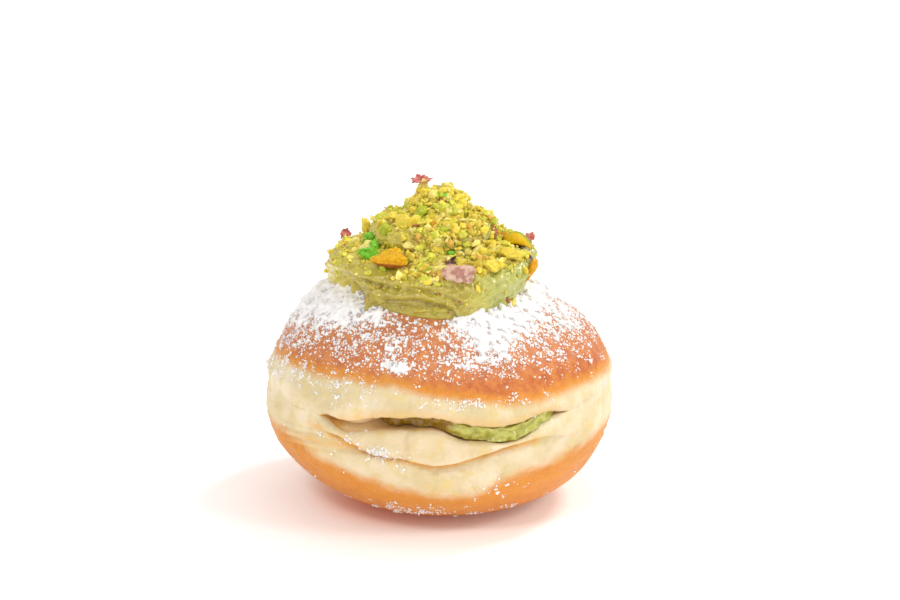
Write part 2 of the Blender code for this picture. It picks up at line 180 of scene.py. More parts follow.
# Larger bits of nut, where the photograph shows them: pixel across and down, the size along,
# across and thick, how far the length is turned on the picture, and the tint.
NUT_CHUNKS = (
    (366, 228, 4.2, 2.8, 2.2, -35, "yellow"),
    (363, 253, 3.0, 1.5, 2.2, 30, "leaf"),
    (367, 257, 3.4, 1.6, 1.8, -15, "leaf"),
    (372, 256, 3.2, 1.7, 2.4, 60, "leaf"),
    (376, 249, 3.0, 1.9, 2.8, 75, "leaf"),
    (371, 242, 3.0, 1.6, 3.0, 50, "leaf"),
    (365, 244, 2.4, 1.5, 2.8, 100, "leaf"),
    (368, 250, 3.2, 2.8, 3.6, 0, "pale"),
    (422, 211, 5.0, 2.7, 2.4, 82, "green"),
    (388, 229, 3.0, 2.8, 2.4, 20, "green"),
    (395, 221, 3.6, 3.0, 2.6, -10, "yellow"),
    (405, 224, 4.4, 3.2, 2.6, -30, "yellow"),
    (404, 236, 2.2, 2.0, 2.0, 0, "yellow"),
    (412, 246, 2.2, 3.6, 2.0, 80, "pale"),
    (383, 219, 2.6, 2.2, 2.0, 30, "lime"),
    (464, 212, 2.6, 2.4, 2.0, -40, "bright"),
    (445, 197, 2.0, 1.2, 1.0, 60, "leaf"),
    (502, 240, 4.4, 2.0, 2.4, 5, "orange"),
    (508, 256, 5.2, 4.6, 4.2, -20, "yellow"),
    (489, 267, 3.8, 3.0, 2.6, 55, "yellow"),
    (480, 259, 2.0, 1.8, 1.6, 0, "golden"),
    (503, 262, 1.8, 1.6, 1.6, 0, "yellow"),
    (524, 270, 2.2, 1.8, 1.8, 0, "yellow"),
    (531, 269, 4.6, 2.2, 1.8, 88, "orange"),
    (436, 269, 4.4, 3.0, 2.4, 70, "pale"),
    (442, 277, 4.2, 2.0, 1.8, -62, "golden"),
    (428, 276, 2.4, 1.2, 1.0, -30, "leaf"),
    (450, 254, 1.8, 1.4, 1.2, 0, "leaf"),
    (463, 236, 2.0, 1.8, 1.6, 0, "lime"),
    (428, 251, 2.0, 1.8, 1.6, 0, "lime"),
    (430, 281, 1.8, 1.4, 1.2, 0, "pale"),
    (448, 183, 2.6, 2.4, 2.2, 0, "pale"),
    (422, 188, 3.4, 3.0, 4.4, 80, "pale"),
    (424, 190, 2.4, 2.2, 3.2, 10, "yellow"),
    (436, 197, 2.8, 2.4, 2.2, 30, "pale"),
    (511, 302, 2.0, 1.8, 1.8, 0, "pale"),
    (507, 299, 1.6, 1.4, 1.4, 40, "skin"),
    (368, 273, 1.4, 1.2, 1.2, 0, "lime"),
    (517, 245, 3.4, 1.8, 1.2, -25, "skin"),
)
# Dried petals: pixel across and down, length, width, turn on the picture, the lift of its
# middle, the angle it stands up by, and the tint.
PETALS = (
    (421, 188, 5.0, 2.8, 8, 3.4, 50, "rose"),
    (347, 237, 3.2, 2.6, 75, 1.3, 82, "rose"),
    (459, 275, 7.8, 4.8, 4, 1.5, 28, "mauve"),
    (450, 264, 3.6, 2.2, 35, 1.0, 20, "plum"),
    (532, 233, 2.6, 2.4, 20, 1.5, 78, "rose"),
    (388, 211, 1.6, 0.9, -20, 0.5, 20, "rose"),
    (498, 249, 1.4, 1.1, 50, 0.6, 30, "plum"),
    (500, 236, 1.3, 1.0, 60, 0.6, 30, "rose"),
    (529, 258, 1.5, 0.7, -35, 0.4, 20, "plum"),
    (474, 246, 1.4, 1.0, 80, 0.5, 30, "rose"),
)
# No crumbs are spread over these, nor over the two packed nuts (node and how far clear).
CLEAR_CHUNKS = NUT_CHUNKS[:32]
CLEAR_PETALS = PETALS[2:4]
CLEAR_NUTS = (("nut_kernel", 2.7), ("nut_slice", 3.0))
CRUMB_SEED = 5


# ---------------------------------------------------------------- number helpers

def screen(red, green, blue):
    """A colour as it looks on screen, 0 to 255, as the linear colour that a shader takes."""
    return tuple(((part / 255.0 + 0.055) / 1.055) ** 2.4 for part in (red, green, blue))


def bell(x, width):
    """A smooth bump of height 1 at x = 0."""
    return np.exp(-np.square(x / width))


def ramp(x, start, end):
    """0 before start, 1 after end, smooth between."""
    t = np.clip((x - start) / (end - start), 0.0, 1.0)
    return t * t * (3.0 - 2.0 * t)


def wrap(angle):
    """An angle brought between -180 and 180 degrees."""
    return (angle + 180.0) % 360.0 - 180.0


def window(x, start, end, soft):
    """1 between start and end, falling to 0 over `soft` on each side."""
    return ramp(x, start - soft, start) * (1.0 - ramp(x, end, end + soft))


def along_front(points, azimuth, soft=1.6):
    """A smooth line through (azimuth, height) points, at the azimuths asked for."""
    knots = np.array(points, dtype=float)
    shifts = (-1.0, -0.5, 0.0, 0.5, 1.0)
    return sum(np.interp(azimuth + shift * soft, knots[:, 0], knots[:, 1]) for shift in shifts) / 5.0


def random_triples(cell):
    """Three numbers from 0 to 1 for each cell of a grid, always the same for the same cell."""
    mixed = (cell[..., 0] * 73856093) ^ (cell[..., 1] * 19349663) ^ (cell[..., 2] * 83492791)
    mixed = ((mixed ^ (mixed >> 13)) * 1274126177) & 0xFFFFFFFF
    mixed = ((mixed ^ (mixed >> 15)) * 2246822519) & 0xFFFFFFFF
    return np.stack([(mixed >> bits_down) & 0xFF for bits_down in (3, 12, 22)], axis=-1) / 255.0


def slope_noise(points, size, seed=0):
    """Smooth random values, about -1 to 1, that change over about `size` millimetres."""
    place = np.asarray(points) / size + 37.73 * seed
    cell = np.floor(place).astype(np.int64)
    share = place - cell
    smooth = share * share * share * (share * (share * 6.0 - 15.0) + 10.0)
    total = 0.0
    for corner in itertools.product((0, 1), repeat=3):
        slope = 2.0 * random_triples(cell + np.array(corner)) - 1.0
        rise = np.sum(slope * (share - np.array(corner)), axis=-1)
        total = total + rise * np.prod(np.where(corner, smooth, 1.0 - smooth), axis=-1)
    return 1.5 * total


def granules(points, size, seed=0):
    """Round grains packed about `size` millimetres apart: 1 on top of each, 0 between them."""
    place = np.asarray(points) / size + 17.31 * seed
    cell = np.floor(place).astype(np.int64)
    nearest = np.full(place.shape[:-1], 9.0)
    for step in itertools.product((-1, 0, 1), repeat=3):
        at = cell + np.array(step)
        nearest = np.minimum(nearest, np.sum(np.square(place - at - random_triples(at)), axis=-1))
    return np.maximum(0.0, 1.0 - 2.0 * nearest)


def layered_noise(points, size, layers, seed=0):
    """Noise with finer and fainter layers on top, about -1 to 1."""
    total, weight, reach = 0.0, 1.0, 0.0
    for layer in range(layers):
        total = total + weight * slope_noise(points, size / 2.0 ** layer, seed + layer)
        reach += weight
        weight *= 0.55
    return total / reach


def zones(table, azimuth, height):
    """The sum of soft round zones: azimuth, height, reach round, reach up and amount of each."""
    return sum(amount * bell(wrap(azimuth - place), wide) * bell(height - rise, tall)
               for place, rise, wide, tall, amount in table)


def around(azimuth, radius, height, centre=(0.0, 0.0)):
    """Points at an azimuth and radius from a centre, at a height."""
    angle = np.radians(azimuth)
    east = centre[0] + radius * np.sin(angle)
    north = centre[1] - radius * np.cos(angle)
    return np.stack(np.broadcast_arrays(east, north, height), axis=-1)


def ring_azimuths(count, crowding):
    """Azimuths of a skin's columns, closer together at the front."""
    turn = np.linspace(-180.0, 180.0, count, endpoint=False)
    return turn - crowding * np.sin(np.radians(turn))


def middle_of(node):
    """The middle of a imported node's box, in millimetres."""
    return np.mean(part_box(node), axis=0) / MM


# ---------------------------------------------------------------- mesh helpers

def in_scene(name, data):
    """A new object in the scene."""
    thing = bpy.data.objects.new(name, data)
    bpy.context.scene.collection.objects.link(thing)
    return thing


def add_values(mesh, key, values):
    """Puts a number or a colour at each point of a mesh, for its shader."""
    values = np.asarray(values, dtype=np.float32)
    kind, field = ("FLOAT", "value") if values.ndim == 1 else ("FLOAT_COLOR", "color")
    mesh.attributes.new(key, kind, "POINT").data.foreach_set(field, values.ravel())


def mesh_piece(name, points, faces, attributes=None, slot=None, smooth=True):
    """An object from points in millimetres, with numbers or colours at its points for shading."""
    mesh = bpy.data.meshes.new(name)
    mesh.from_pydata((np.asarray(points) * MM).tolist(), [], faces)
    if smooth:
        mesh.shade_smooth()
    for key, values in (attributes or {}).items():
        add_values(mesh, key, values)
    piece = in_scene(name, mesh)
    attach(piece, "root")
    return piece


def grid_faces(rows, columns):
    """Quads of a skin of rows of points, each row a closed ring."""
    here = np.arange(columns)
    after = (here + 1) % columns
    low = np.arange(rows - 1)[:, None] * columns
    high = low + columns
    return np.stack([low + here, low + after, high + after, high + here], axis=-1).reshape(-1, 4)


def capped_skin(grid):
    """Points and faces of a closed skin through a grid of rings, with a middle point at each end."""
    rows, columns, _ = grid.shape
    points = np.concatenate([grid.reshape(-1, 3), grid[0].mean(axis=0)[None], grid[-1].mean(axis=0)[None]])
    faces = grid_faces(rows, columns).tolist()
    low, high = rows * columns, rows * columns + 1
    last = (rows - 1) * columns
    for column in range(columns):
        after = (column + 1) % columns
        faces.append([low, after, column])
        faces.append([high, last + column, last + after])
    return points, faces


def skin_piece(name, grid, values, slot):
    """A closed skin through a grid of rings, with values on that grid for its shader."""
    attributes = {}
    for key, part in values.items():
        attributes[key] = np.concatenate([part.ravel(), [part[0].mean(), part[-1].mean()]])
    return mesh_piece(name, *capped_skin(grid), attributes, slot)


# ---------------------------------------------------------------- camera, floor and light

def camera_frame():
    """The camera's place and its right, up and forward directions, in millimetres."""
    tilt = math.radians(CAMERA_ELEVATION)
    target = np.array([0.0, 0.0, CAMERA_TARGET_HEIGHT])
    place = target + CAMERA_DISTANCE * np.array([0.0, -math.cos(tilt), math.sin(tilt)])
    up = np.array([0.0, math.sin(tilt), math.cos(tilt)])
    right_shift = (PHOTO_WIDTH / 2 - TARGET_PIXEL[0]) / PIXELS_PER_MM
    up_shift = (TARGET_PIXEL[1] - PHOTO_HEIGHT / 2) / PIXELS_PER_MM
    aim = target + up * up_shift + np.array([right_shift, 0.0, 0.0])
    forward = (aim - place) / np.linalg.norm(aim - place)
    right = np.cross(forward, [0.0, 0.0, 1.0])
    right /= np.linalg.norm(right)
    return place, right, np.cross(right, forward), forward


def add_camera():
    place, right, up, forward = camera_frame()
    data = bpy.data.cameras.new("camera")
    data.sensor_width = 36.0
    data.lens = PIXELS_PER_MM * CAMERA_DISTANCE / PHOTO_WIDTH * data.sensor_width
    data.clip_start = 0.01
    camera = in_scene("camera", data)
    turn = Matrix((right, up, -forward)).transposed().to_4x4()
    camera.matrix_world = Matrix.Translation(Vector(place * MM)) @ turn
    bpy.context.scene.camera = camera


def photo_ray(across, down):
    """The camera's place and the direction in which it sees a pixel of the photograph."""
    place, right, up, forward = camera_frame()
    focal = PIXELS_PER_MM * CAMERA_DISTANCE
    way = forward * focal + right * (across - PHOTO_WIDTH / 2) - up * (down - PHOTO_HEIGHT / 2)
    return Vector(place * MM), Vector(way).normalized()


def add_floor():
    """A white floor glowing with painted light: dimmer and warmer under the bun, as painted shadow and
    bounce.
    """
    shape = bmesh.new()
    bmesh.ops.create_grid(shape, x_segments=8, y_segments=8, size=FLOOR_REACH)
    mesh = bpy.data.meshes.new("floor")
    shape.to_mesh(mesh)
    shape.free()
    floor = in_scene("floor", mesh)
    floor.location.z = -FLOOR_DROP
    look = Shading("floor_white_painted_light")
    beside = look.node("ShaderNodeVectorMath", {0: look.place, 1: SHADOW_SHIFT}).outputs[0]
    away = look.node("ShaderNodeVectorMath", {0: beside}, operation="LENGTH").outputs["Value"]
    # Painted light: the floor glows, less near the bun as painted shadow, and warm there as painted bounce
    # light.
    painted_glow = look.node("ShaderNodeMapRange", {"Value": away, **FLOOR_PAINTED_GLOW}, interpolation_type="SMOOTHSTEP")
    painted_bounce = look.node("ShaderNodeMapRange", {"Value": away, **FLOOR_PAINTED_BOUNCE_REACH}).outputs["Result"]
    look.feed(look.shader, {"Roughness": 0.9, "Emission Strength": painted_glow.outputs["Result"]})
    for socket, near, far in FLOOR_PAINTED_BOUNCE_COLOURS:
        look.feed(look.shader, {socket: look.mix(painted_bounce, near, far)})
    mesh.materials.append(look.material)


def add_lamp(name, kind, place, energy, colour=(1.0, 1.0, 1.0), **settings):
    """A lamp at a place in metres, turned towards the bun."""
    data = bpy.data.lights.new(name, kind)
    data.energy = energy
    data.color = colour
    for key, value in settings.items():
        setattr(data, key, value)
    lamp = in_scene(name, data)
    lamp.location = place
    aim = Vector((0.0, 0.0, 0.04)) - Vector(place)
    lamp.rotation_euler = aim.to_track_quat("-Z", "Y").to_euler()


def add_light():
    """A soft key from the right and behind, fill from the front, and a bright room."""
    add_lamp("key", "SUN", (0.60, 0.30, 0.95), 1.5, (1.0, 0.98, 0.95), angle=math.radians(16.0))
    add_lamp("front_fill", "AREA", (-0.36, -0.74, 0.82), 3.3, size=0.22)
    add_lamp("right_fill", "AREA", (0.72, -0.48, 0.72), 2.4, size=0.22)
    world = bpy.data.worlds.new("studio")
    world.use_nodes = True
    world.node_tree.nodes["Background"].inputs["Color"].default_value = (1.0, 0.97, 0.96, 1.0)
    world.node_tree.nodes["Background"].inputs["Strength"].default_value = 0.66
    bpy.context.scene.world = world
    bpy.context.scene.view_settings.view_transform = "Standard"


# ---------------------------------------------------------------- shader helpers

class Shading:
    """A material with a Principled shader, and short calls that add nodes to it."""

    def __init__(self, name):
        self.material = bpy.data.materials.new(name)
        self.material.use_nodes = True
        self.tree = self.material.node_tree
        self.shader = self.tree.nodes["Principled BSDF"]
        self.place = self.node("ShaderNodeTexCoord").outputs["Object"]

    def feed(self, target, values):
        """Gives inputs of a node a link, a number or a colour each."""
        for key, value in values.items():
            socket = target.inputs[key]
            if isinstance(value, bpy.types.NodeSocket):
                self.tree.links.new(value, socket)
            elif socket.type == "RGBA":
                socket.default_value = (*value, 1.0)
            else:
                socket.default_value = value

    def node(self, kind, values=None, **settings):
        """A new node, with its settings and what goes into its inputs."""
        made = self.tree.nodes.new(kind)
        for key, value in settings.items():
            setattr(made, key, value)
        self.feed(made, values or {})
        return made

    def noise(self, size_mm, detail=3.0, roughness=0.55, stretch=None):
        place = self.place
        if stretch:
            place = self.node("ShaderNodeMapping", {"Scale": stretch, "Vector": place}).outputs["Vector"]
        values = {"Scale": 1.0 / (size_mm * MM), "Detail": detail, "Roughness": roughness, "Vector": place}
        return self.node("ShaderNodeTexNoise", values).outputs["Fac"]

    def cells(self, size_mm):
        """Random cells, with a colour each and the distance from their middles."""
        return self.node("ShaderNodeTexVoronoi", {"Scale": 1.0 / (size_mm * MM), "Vector": self.place})

    def attribute(self, name, output="Fac"):
        return self.node("ShaderNodeAttribute", attribute_name=name).outputs[output]

    def maths(self, operation, first, second):
        return self.node("ShaderNodeMath", {0: first, 1: second}, operation=operation).outputs[0]

    def step(self, value, low, high):
        """0 below low, 1 above high, smooth between."""
        values = {"Value": value, "From Min": low, "From Max": high}
        return self.node("ShaderNodeMapRange", values, interpolation_type="SMOOTHSTEP").outputs["Result"]

    def mix(self, share, first, second, blend="MIX"):
        values = {0: share, 6: first, 7: second}
        return self.node("ShaderNodeMix", values, data_type="RGBA", blend_type=blend).outputs[2]

    def fade(self, value, low, high, first, second, blend="MIX"):
        """From the first colour to the second, as a value goes from low to high."""
        return self.mix(self.step(value, low, high), first, second, blend)

    def tinge(self, colour, share, strength, tint):
        """A colour with some of a tint in it: `strength` of it where the share is 1."""
        return self.mix(self.maths("MULTIPLY", share, strength), colour, tint)

    def mix_number(self, share, first, second):
        return self.node("ShaderNodeMix", {0: share, 2: first, 3: second}, data_type="FLOAT").outputs[0]

    def bump(self, height, depth_mm, strength=1.0, wet=False):
        """Fine relief; a wet surface has some of it in its gloss too."""
        reliefs = [("Normal", depth_mm, strength)]
        if wet:
            reliefs.append(("Coat Normal", 0.4 * depth_mm, 1.0))
        for socket, depth, share in reliefs:
            values = {"Distance": depth * MM, "Strength": share, "Height": height}
            self.feed(self.shader, {socket: self.node("ShaderNodeBump", values).outputs["Normal"]})

    def finish(self, piece, colour, roughness, soft, soft_reach, soft_mm, shine=0.5):
        """Sets the main inputs; `soft` is how much light spreads inside, as in dough or cream."""
        self.feed(self.shader, {"Base Color": colour, "Roughness": roughness, "Specular IOR Level": shine,
                                "Subsurface Weight": soft, "Subsurface Radius": soft_reach,
                                "Subsurface Scale": soft_mm * MM})
        piece.data.materials.clear()
        piece.data.materials.append(self.material)


# ---------------------------------------------------------------- bun shape

def bun_radius(height):
    """The plain outline: its radius at a height above the table."""
    crown = BUN_TOP - WAIST_HEIGHT
    base = WAIST_HEIGHT / (1 - (FLAT_RADIUS / BUN_RADIUS) ** BASE_ROUNDNESS) ** (1 / BASE_ROUNDNESS)
    above = np.clip((height - WAIST_HEIGHT) / crown, 0.0, 1.0)
    below = np.clip((WAIST_HEIGHT - height) / base, 0.0, 1.0)
    upper = (1 - above ** CROWN_ROUNDNESS) ** (1 / CROWN_ROUNDNESS)
    lower = (1 - below ** BASE_ROUNDNESS) ** (1 / BASE_ROUNDNESS)
    return BUN_RADIUS * np.where(height > WAIST_HEIGHT, upper, lower)


def bun_lean(height):
    """How far the outline's middle lies to the side at a height."""
    return CROWN_LEAN * ramp(height, 41.0, 56.0) + BASE_LEAN * ramp(20.0 - height, 0.0, 18.0)


def crown_height(radius):
    """The plain outline the other way round, for what lies on the crown."""
    share = (1 - (radius / BUN_RADIUS) ** CROWN_ROUNDNESS) ** (1 / CROWN_ROUNDNESS)
    return WAIST_HEIGHT + (BUN_TOP - WAIST_HEIGHT) * share


def outline_table():
    """Heights and lengths along the plain outline, from the table to the top."""
    angle = np.linspace(0.0, math.pi / 2, 700)
    low = WAIST_HEIGHT * (1.0 - np.sin(angle[::-1]))
    high = WAIST_HEIGHT + (BUN_TOP - WAIST_HEIGHT) * np.sin(angle)
    height = np.concatenate([low, high[1:]])
    pieces = np.hypot(np.diff(height), np.diff(bun_radius(height)))
    return height, np.concatenate([[0.0], np.cumsum(pieces)])


def overlap(above, proud, proud_reach, tucked, tucked_reach):
    """The step where one fold lies over another: proud above the line and tucked in below it."""
    up = np.maximum(above, 0.0)
    down = np.maximum(-above, 0.0)
    over = proud * (1.0 - np.exp(-up / 0.4)) * bell(up, proud_reach)
    under = tucked * np.exp(-down / tucked_reach) * np.minimum(1.0, down / 0.25)
    return over - under


def tongue_fold(azimuth, height):
    """The flap of dough under the slit: it stands proud, and the dough below is tucked under it."""
    above = height - along_front(TONGUE_CREASE, azimuth)
    strength = window(azimuth, -34.0, 24.0, 9.0) + 0.45 * window(azimuth, 34.0, 42.0, 10.0)
    fold = strength * overlap(above, 1.6, 4.6, 2.2, 2.2)
    beside = azimuth + 10.3 + 0.12 * (height - 30.0)
    lobe = 1.1 * (ramp(beside, -0.8, 0.8) - 1.0) * window(azimuth, -30.0, -8.0, 9.0)
    return fold + lobe * window(height, 24.2, 30.0, 1.2)


def pleats(azimuth, height):
    """Small upright folds in the pale dough below the tongue."""
    total = 0.0
    for place, lean, depth in ((-2.0, 0.3, 0.45), (4.5, -0.5, 0.35), (9.5, -0.7, 0.5), (14.5, -0.6, 0.35),
                               (20.0, 0.5, 0.3), (-9.0, 0.6, 0.25)):
        total = total - depth * bell(azimuth - place - lean * (height - 18.0), 1.0)
    return total * window(height, 15.5, 21.0, 3.0)


def side_wrinkles(azimuth, height):
    """Slanting wrinkles at the left, where the slit's end pulls the dough."""
    total = 0.0
    for rise, depth in ((25.6, 0.75), (23.4, 0.65), (21.6, 0.45), (27.6, 0.45)):
        total = total - depth * bell(height - rise - 0.09 * (azimuth + 50.0), 0.5)
    return total * window(azimuth, -62.0, -46.0, 7.0)


def dough_relief(points, azimuth, height):
    """What the soft dough adds to the plain outline, in millimetres outwards."""
    front = window(azimuth, -44.0, 44.0, 18.0)
    relief = 0.55 * bell(height - 35.6, 2.6) * (1.0 - 0.4 * front) + 0.25 * bell(height - 25.0, 5.0)
    relief = relief - 0.4 * bell(height - 31.5, 2.4) * (1.0 - front)
    relief = relief + 0.35 * np.sin(np.radians(3.0 * azimuth + 40.0)) * bell(height - 24.0, 12.0)
    relief = relief + 0.3 * np.sin(np.radians(2.0 * azimuth - 70.0)) * bell(height - 43.0, 7.0)
    relief = relief + tongue_fold(azimuth, height) + pleats(azimuth, height)
    relief = relief + side_wrinkles(azimuth, height)
    belt = window(height, 18.0, 36.0, 5.0)
    relief = relief + layered_noise(points, 9.0, 4, seed=3) * (0.30 + 0.60 * belt)
    relief = relief + layered_noise(points * (1.0, 1.0, 1.6), 3.4, 3, seed=13) * (0.05 + 0.45 * belt)
    relief = relief + layered_noise(points, 1.3, 2, seed=9) * (0.06 + 0.10 * belt)
    return relief * ramp(height, 0.0, 5.0)


def lip_rounding(distance, radius):
    """How far a lip's skin has turned in, at a distance from its edge."""
    share = 1.0 - np.clip(distance / radius, 0.0, 1.0)
    return radius * (1.0 - np.sqrt(np.maximum(0.0, 1.0 - share * share)))


def skin_rows(start, end, count, sparse_above=None):
    """Heights of rows evenly spaced along the outline between two heights for each column."""
    height, spent = outline_table()
    if sparse_above:
        crowd = np.where(height[1:] > sparse_above, 0.35, 1.0)
        spent = np.concatenate([[0.0], np.cumsum(np.diff(spent) * crowd)])
    first = np.interp(start, height, spent)
    last = np.interp(end, height, spent)
    shares = np.linspace(0.0, 1.0, count)[:, None]
    return np.interp(first + (last - first) * shares, spent, height)


def bun_skin(azimuth, height, tuck=0.0):
    """Points of the bun's skin at azimuths and heights, pulled in by `tuck`."""
    relief = dough_relief(around(azimuth, bun_radius(height), height), azimuth, height) - tuck
    skin = around(azimuth, bun_radius(height) + relief, height)
    skin[..., 0] += bun_lean(height)
    return skin


def bun_grid():
    """The bun's skin: rings from the table up, in and out of the slit, and over the crown."""
    azimuth = ring_azimuths(*BUN_COLUMNS)
    upper = along_front(UPPER_LIP, azimuth)
    lower = along_front(LOWER_LIP, azimuth)
    side = ramp(np.abs(azimuth), 84.0, 100.0)
    upper = upper * (1.0 - side) + (SEAM_HEIGHT + 0.1) * side
    lower = lower * (1.0 - side) + (SEAM_HEIGHT - 0.1) * side
    mouth = window(azimuth, MOUTH_FROM + 2.0, MOUTH_TO - 2.0, 3.0)
    nil = np.zeros_like(azimuth)
    edge = np.stack([azimuth * math.radians(BUN_RADIUS), nil, nil], axis=-1)
    upper = upper + mouth * 0.55 * layered_noise(edge, 2.6, 3, seed=5)
    lower = lower + mouth * 0.35 * layered_noise(edge, 3.4, 3, seed=6)
    halfway = 0.5 * (lower + upper)
    opening = 0.5 * (upper - lower) * window(azimuth, MOUTH_FROM - 1.0, MOUTH_TO + 1.0, 4.0)
    gape = np.maximum(0.5 * SEAM_GAP, opening)
    upper, lower = halfway + gape, halfway - gape
    round_by = 0.5 * SEAM_GAP + LIP_ROUNDING * mouth
    depth = SEAM_DEPTH + MOUTH_DEPTH * mouth * (0.18 + 0.82 * ramp(azimuth, -28.0, -14.0))

    low = skin_rows(nil, lower, BUN_LOW_ROWS)
    high = skin_rows(upper, np.full_like(azimuth, BUN_TOP - 0.02), BUN_HIGH_ROWS, 57.5)
    skins = []
    for heights, edge in ((low, lower), (high, upper)):
        tuck = lip_rounding(np.abs(heights - edge), round_by)
        skins.append(bun_skin(azimuth, heights, tuck))
    shares = (0.15, 0.4, 0.62, 0.8, 0.93)
    foot = [around(azimuth, share * FLAT_RADIUS, 0.0, (BASE_LEAN, 0.0)) for share in shares]

    middle = 0.5 * (lower + upper)
    inmost = middle + 0.5 * SEAM_GAP + 0.05 * mouth
    low_radius, high_radius = (np.hypot(ring[:, 0], ring[:, 1]) for ring in (skins[0][-1], skins[1][0]))
    floor, roof = [], []
    for share in np.linspace(0.0, 1.0, 12)[1:]:
        close = float(ramp(share, 0.1, 1.0))
        sag = 0.5 * mouth * math.sin(math.pi * share)
        floor.append(around(azimuth, low_radius - depth * share, lower + (middle - lower) * close - sag))
        roof.append(around(azimuth, high_radius - depth * share, upper + (inmost - upper) * close))
    sections = [np.stack(foot), skins[0], np.stack(floor), np.stack(roof[::-1]), skins[1]]
    return sections, azimuth


def crust_values(points, azimuth, height):
    """How browned the skin is: 0 on the pale belt, 1 on crown and base, and the deeper toast."""
    drift = layered_noise(points, 6.0, 3, seed=21)
    fine = layered_noise(points, 1.6, 2, seed=27)
    above = height - along_front(CROWN_EDGE, azimuth, 5.0) + 0.9 * drift + 0.5 * fine
    below = along_front(BASE_EDGE, azimuth, 5.0) - height + 1.3 * drift + 0.5 * fine
    crown = ramp(above, -2.6, 2.0)
    base = ramp(below, -3.4, 3.8)
    toast = ramp(above, 0.2, 3.2) * (0.8 + 0.25 * drift) + 0.35 * ramp(below, 3.0, 10.0)
    return np.maximum(crown, base), toast


def sugar_cover(points, azimuth, height):
    """How much icing sugar lies on the crown: 0 none, 1 thick."""
    cover = zones(SUGAR_DRIFTS, azimuth, height) + 0.34 * window(height, 45.0, 62.0, 4.0)
    return np.clip(cover * (1.0 + 0.5 * layered_noise(points, 7.0, 3, seed=33)), 0.0, 1.1)


def add_bun():
    sections, azimuth = bun_grid()
    grid = np.concatenate(sections)
    height = grid[..., 2]
    turn = np.broadcast_to(azimuth, height.shape)
    crust, toast = crust_values(grid, turn, height)
    in_slit = np.repeat([0.0, 0.0, 1.0, 1.0, 0.0], [len(part) for part in sections])[:, None]
    # The slit's inside is painted tan: the dough's colour there, darkened as painted shade of the recess.
    # Below the tongue's fold a band is painted shade in the tuck; the golden creases and a band just above
    # the upper lip are tinted tan as well.
    inner = in_slit * window(azimuth, MOUTH_FROM, MOUTH_TO, 3.0)
    above = height - along_front(TONGUE_CREASE, turn)
    crease_tan_and_shade = bell(above + 0.7, 0.8) * window(turn, -36.0, 30.0, 6.0) * (1.0 - inner)
    over_lip = bell(height - along_front(UPPER_LIP, turn) - 0.8, 1.5) * window(turn, -30.0, 38.0, 8.0)
    crease_tan_and_shade = crease_tan_and_shade + zones(GOLDEN_CREASES, turn, height) + 0.45 * over_lip * (1.0 - inner)
    inner = inner * (0.5 + 0.5 * window(azimuth, MOUTH_FROM, -36.0, 3.0))
    sugar = sugar_cover(grid, turn, height) + 0.4 * zones(WHITENING_GRAINS, turn, height)
    sugar = np.minimum(sugar, 1.1) * (1.0 - inner)
    values = {"crust": crust, "toast": toast, "inner": np.maximum(inner, crease_tan_and_shade), "sugar": sugar}
    bun = skin_piece("dough", grid, values, "dough")
    bun.data.set_sharp_from_angle(angle=math.radians(75.0))
    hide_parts("bun")
    shade_bun(bun)
    return grid, turn


def powder_dots(look, amount, size_mm):
    """Round specks of icing sugar, more and larger where the amount is high."""
    cells = look.cells(size_mm)
    split = look.node("ShaderNodeSeparateColor", {0: cells.outputs["Color"]})
    reach = look.maths("SUBTRACT", look.maths("ADD", amount, split.outputs[0]), 0.92)
    return look.step(look.maths("SUBTRACT", cells.outputs["Distance"], reach), 0.06, -0.06)


def shade_bun(bun):
    """Fried dough: a pale belt, golden and browned crust, tan in the slit and creases, partly painted shade,
    and icing sugar.
    """
    look = Shading("fried_dough")
    crust, sugar = look.attribute("crust"), look.attribute("sugar")
    mottle = look.noise(2.4, 5.0, 0.65)
    pores = look.noise(0.55, 4.0, 0.6)
    pale = look.fade(look.noise(8.0, 4.0), 0.3, 0.7, screen(214, 197, 150), screen(232, 218, 188))
    pale = look.tinge(pale, look.step(look.noise(3.6, 4.0), 0.5, 0.7), 0.7, screen(224, 201, 132))
    golden = look.mix(mottle, screen(202, 118, 8), screen(224, 150, 28))
    brown = look.fade(mottle, 0.3, 0.7, screen(180, 86, 24), screen(210, 126, 46))
    colour = look.fade(crust, 0.05, 0.95, pale, golden)
    colour = look.fade(look.attribute("toast"), 0.05, 0.9, colour, brown)
    colour = look.tinge(colour, look.step(pores, 0.55, 0.75), 0.22, screen(246, 214, 170))
    # Tan where the slit and creases are marked: partly the dough's colour, partly painted shade.
    colour = look.tinge(colour, look.attribute("inner"), 0.85, screen(224, 168, 76))
    colour = look.tinge(colour, sugar, 0.15, screen(244, 228, 206))
    powder = look.maths("MAXIMUM", powder_dots(look, sugar, 0.55), powder_dots(look, sugar, 1.0))
    colour = look.mix(powder, colour, screen(246, 245, 244))
    roughness = look.mix_number(powder, look.mix_number(crust, 0.62, 0.46), 0.9)
    flattened = look.noise(1.3, 4.0, 0.6, (1.0, 1.0, 0.6))
    wrinkles = look.maths("ADD", look.maths("MULTIPLY", pores, 0.7), flattened)
    look.bump(look.maths("ADD", wrinkles, powder), 0.35)
    look.finish(bun, colour, roughness, soft=0.2, soft_reach=(1.0, 0.55, 0.25), soft_mm=1.6)


# ---------------------------------------------------------------- icing sugar

def outward_of(grid):
    """Which way a skin of rings faces at each of its points."""
    across = np.roll(grid, -1, axis=1) - np.roll(grid, 1, axis=1)
    way = np.cross(across, np.gradient(grid, axis=0))
    return way / np.maximum(np.linalg.norm(way, axis=-1, keepdims=True), 1e-9)


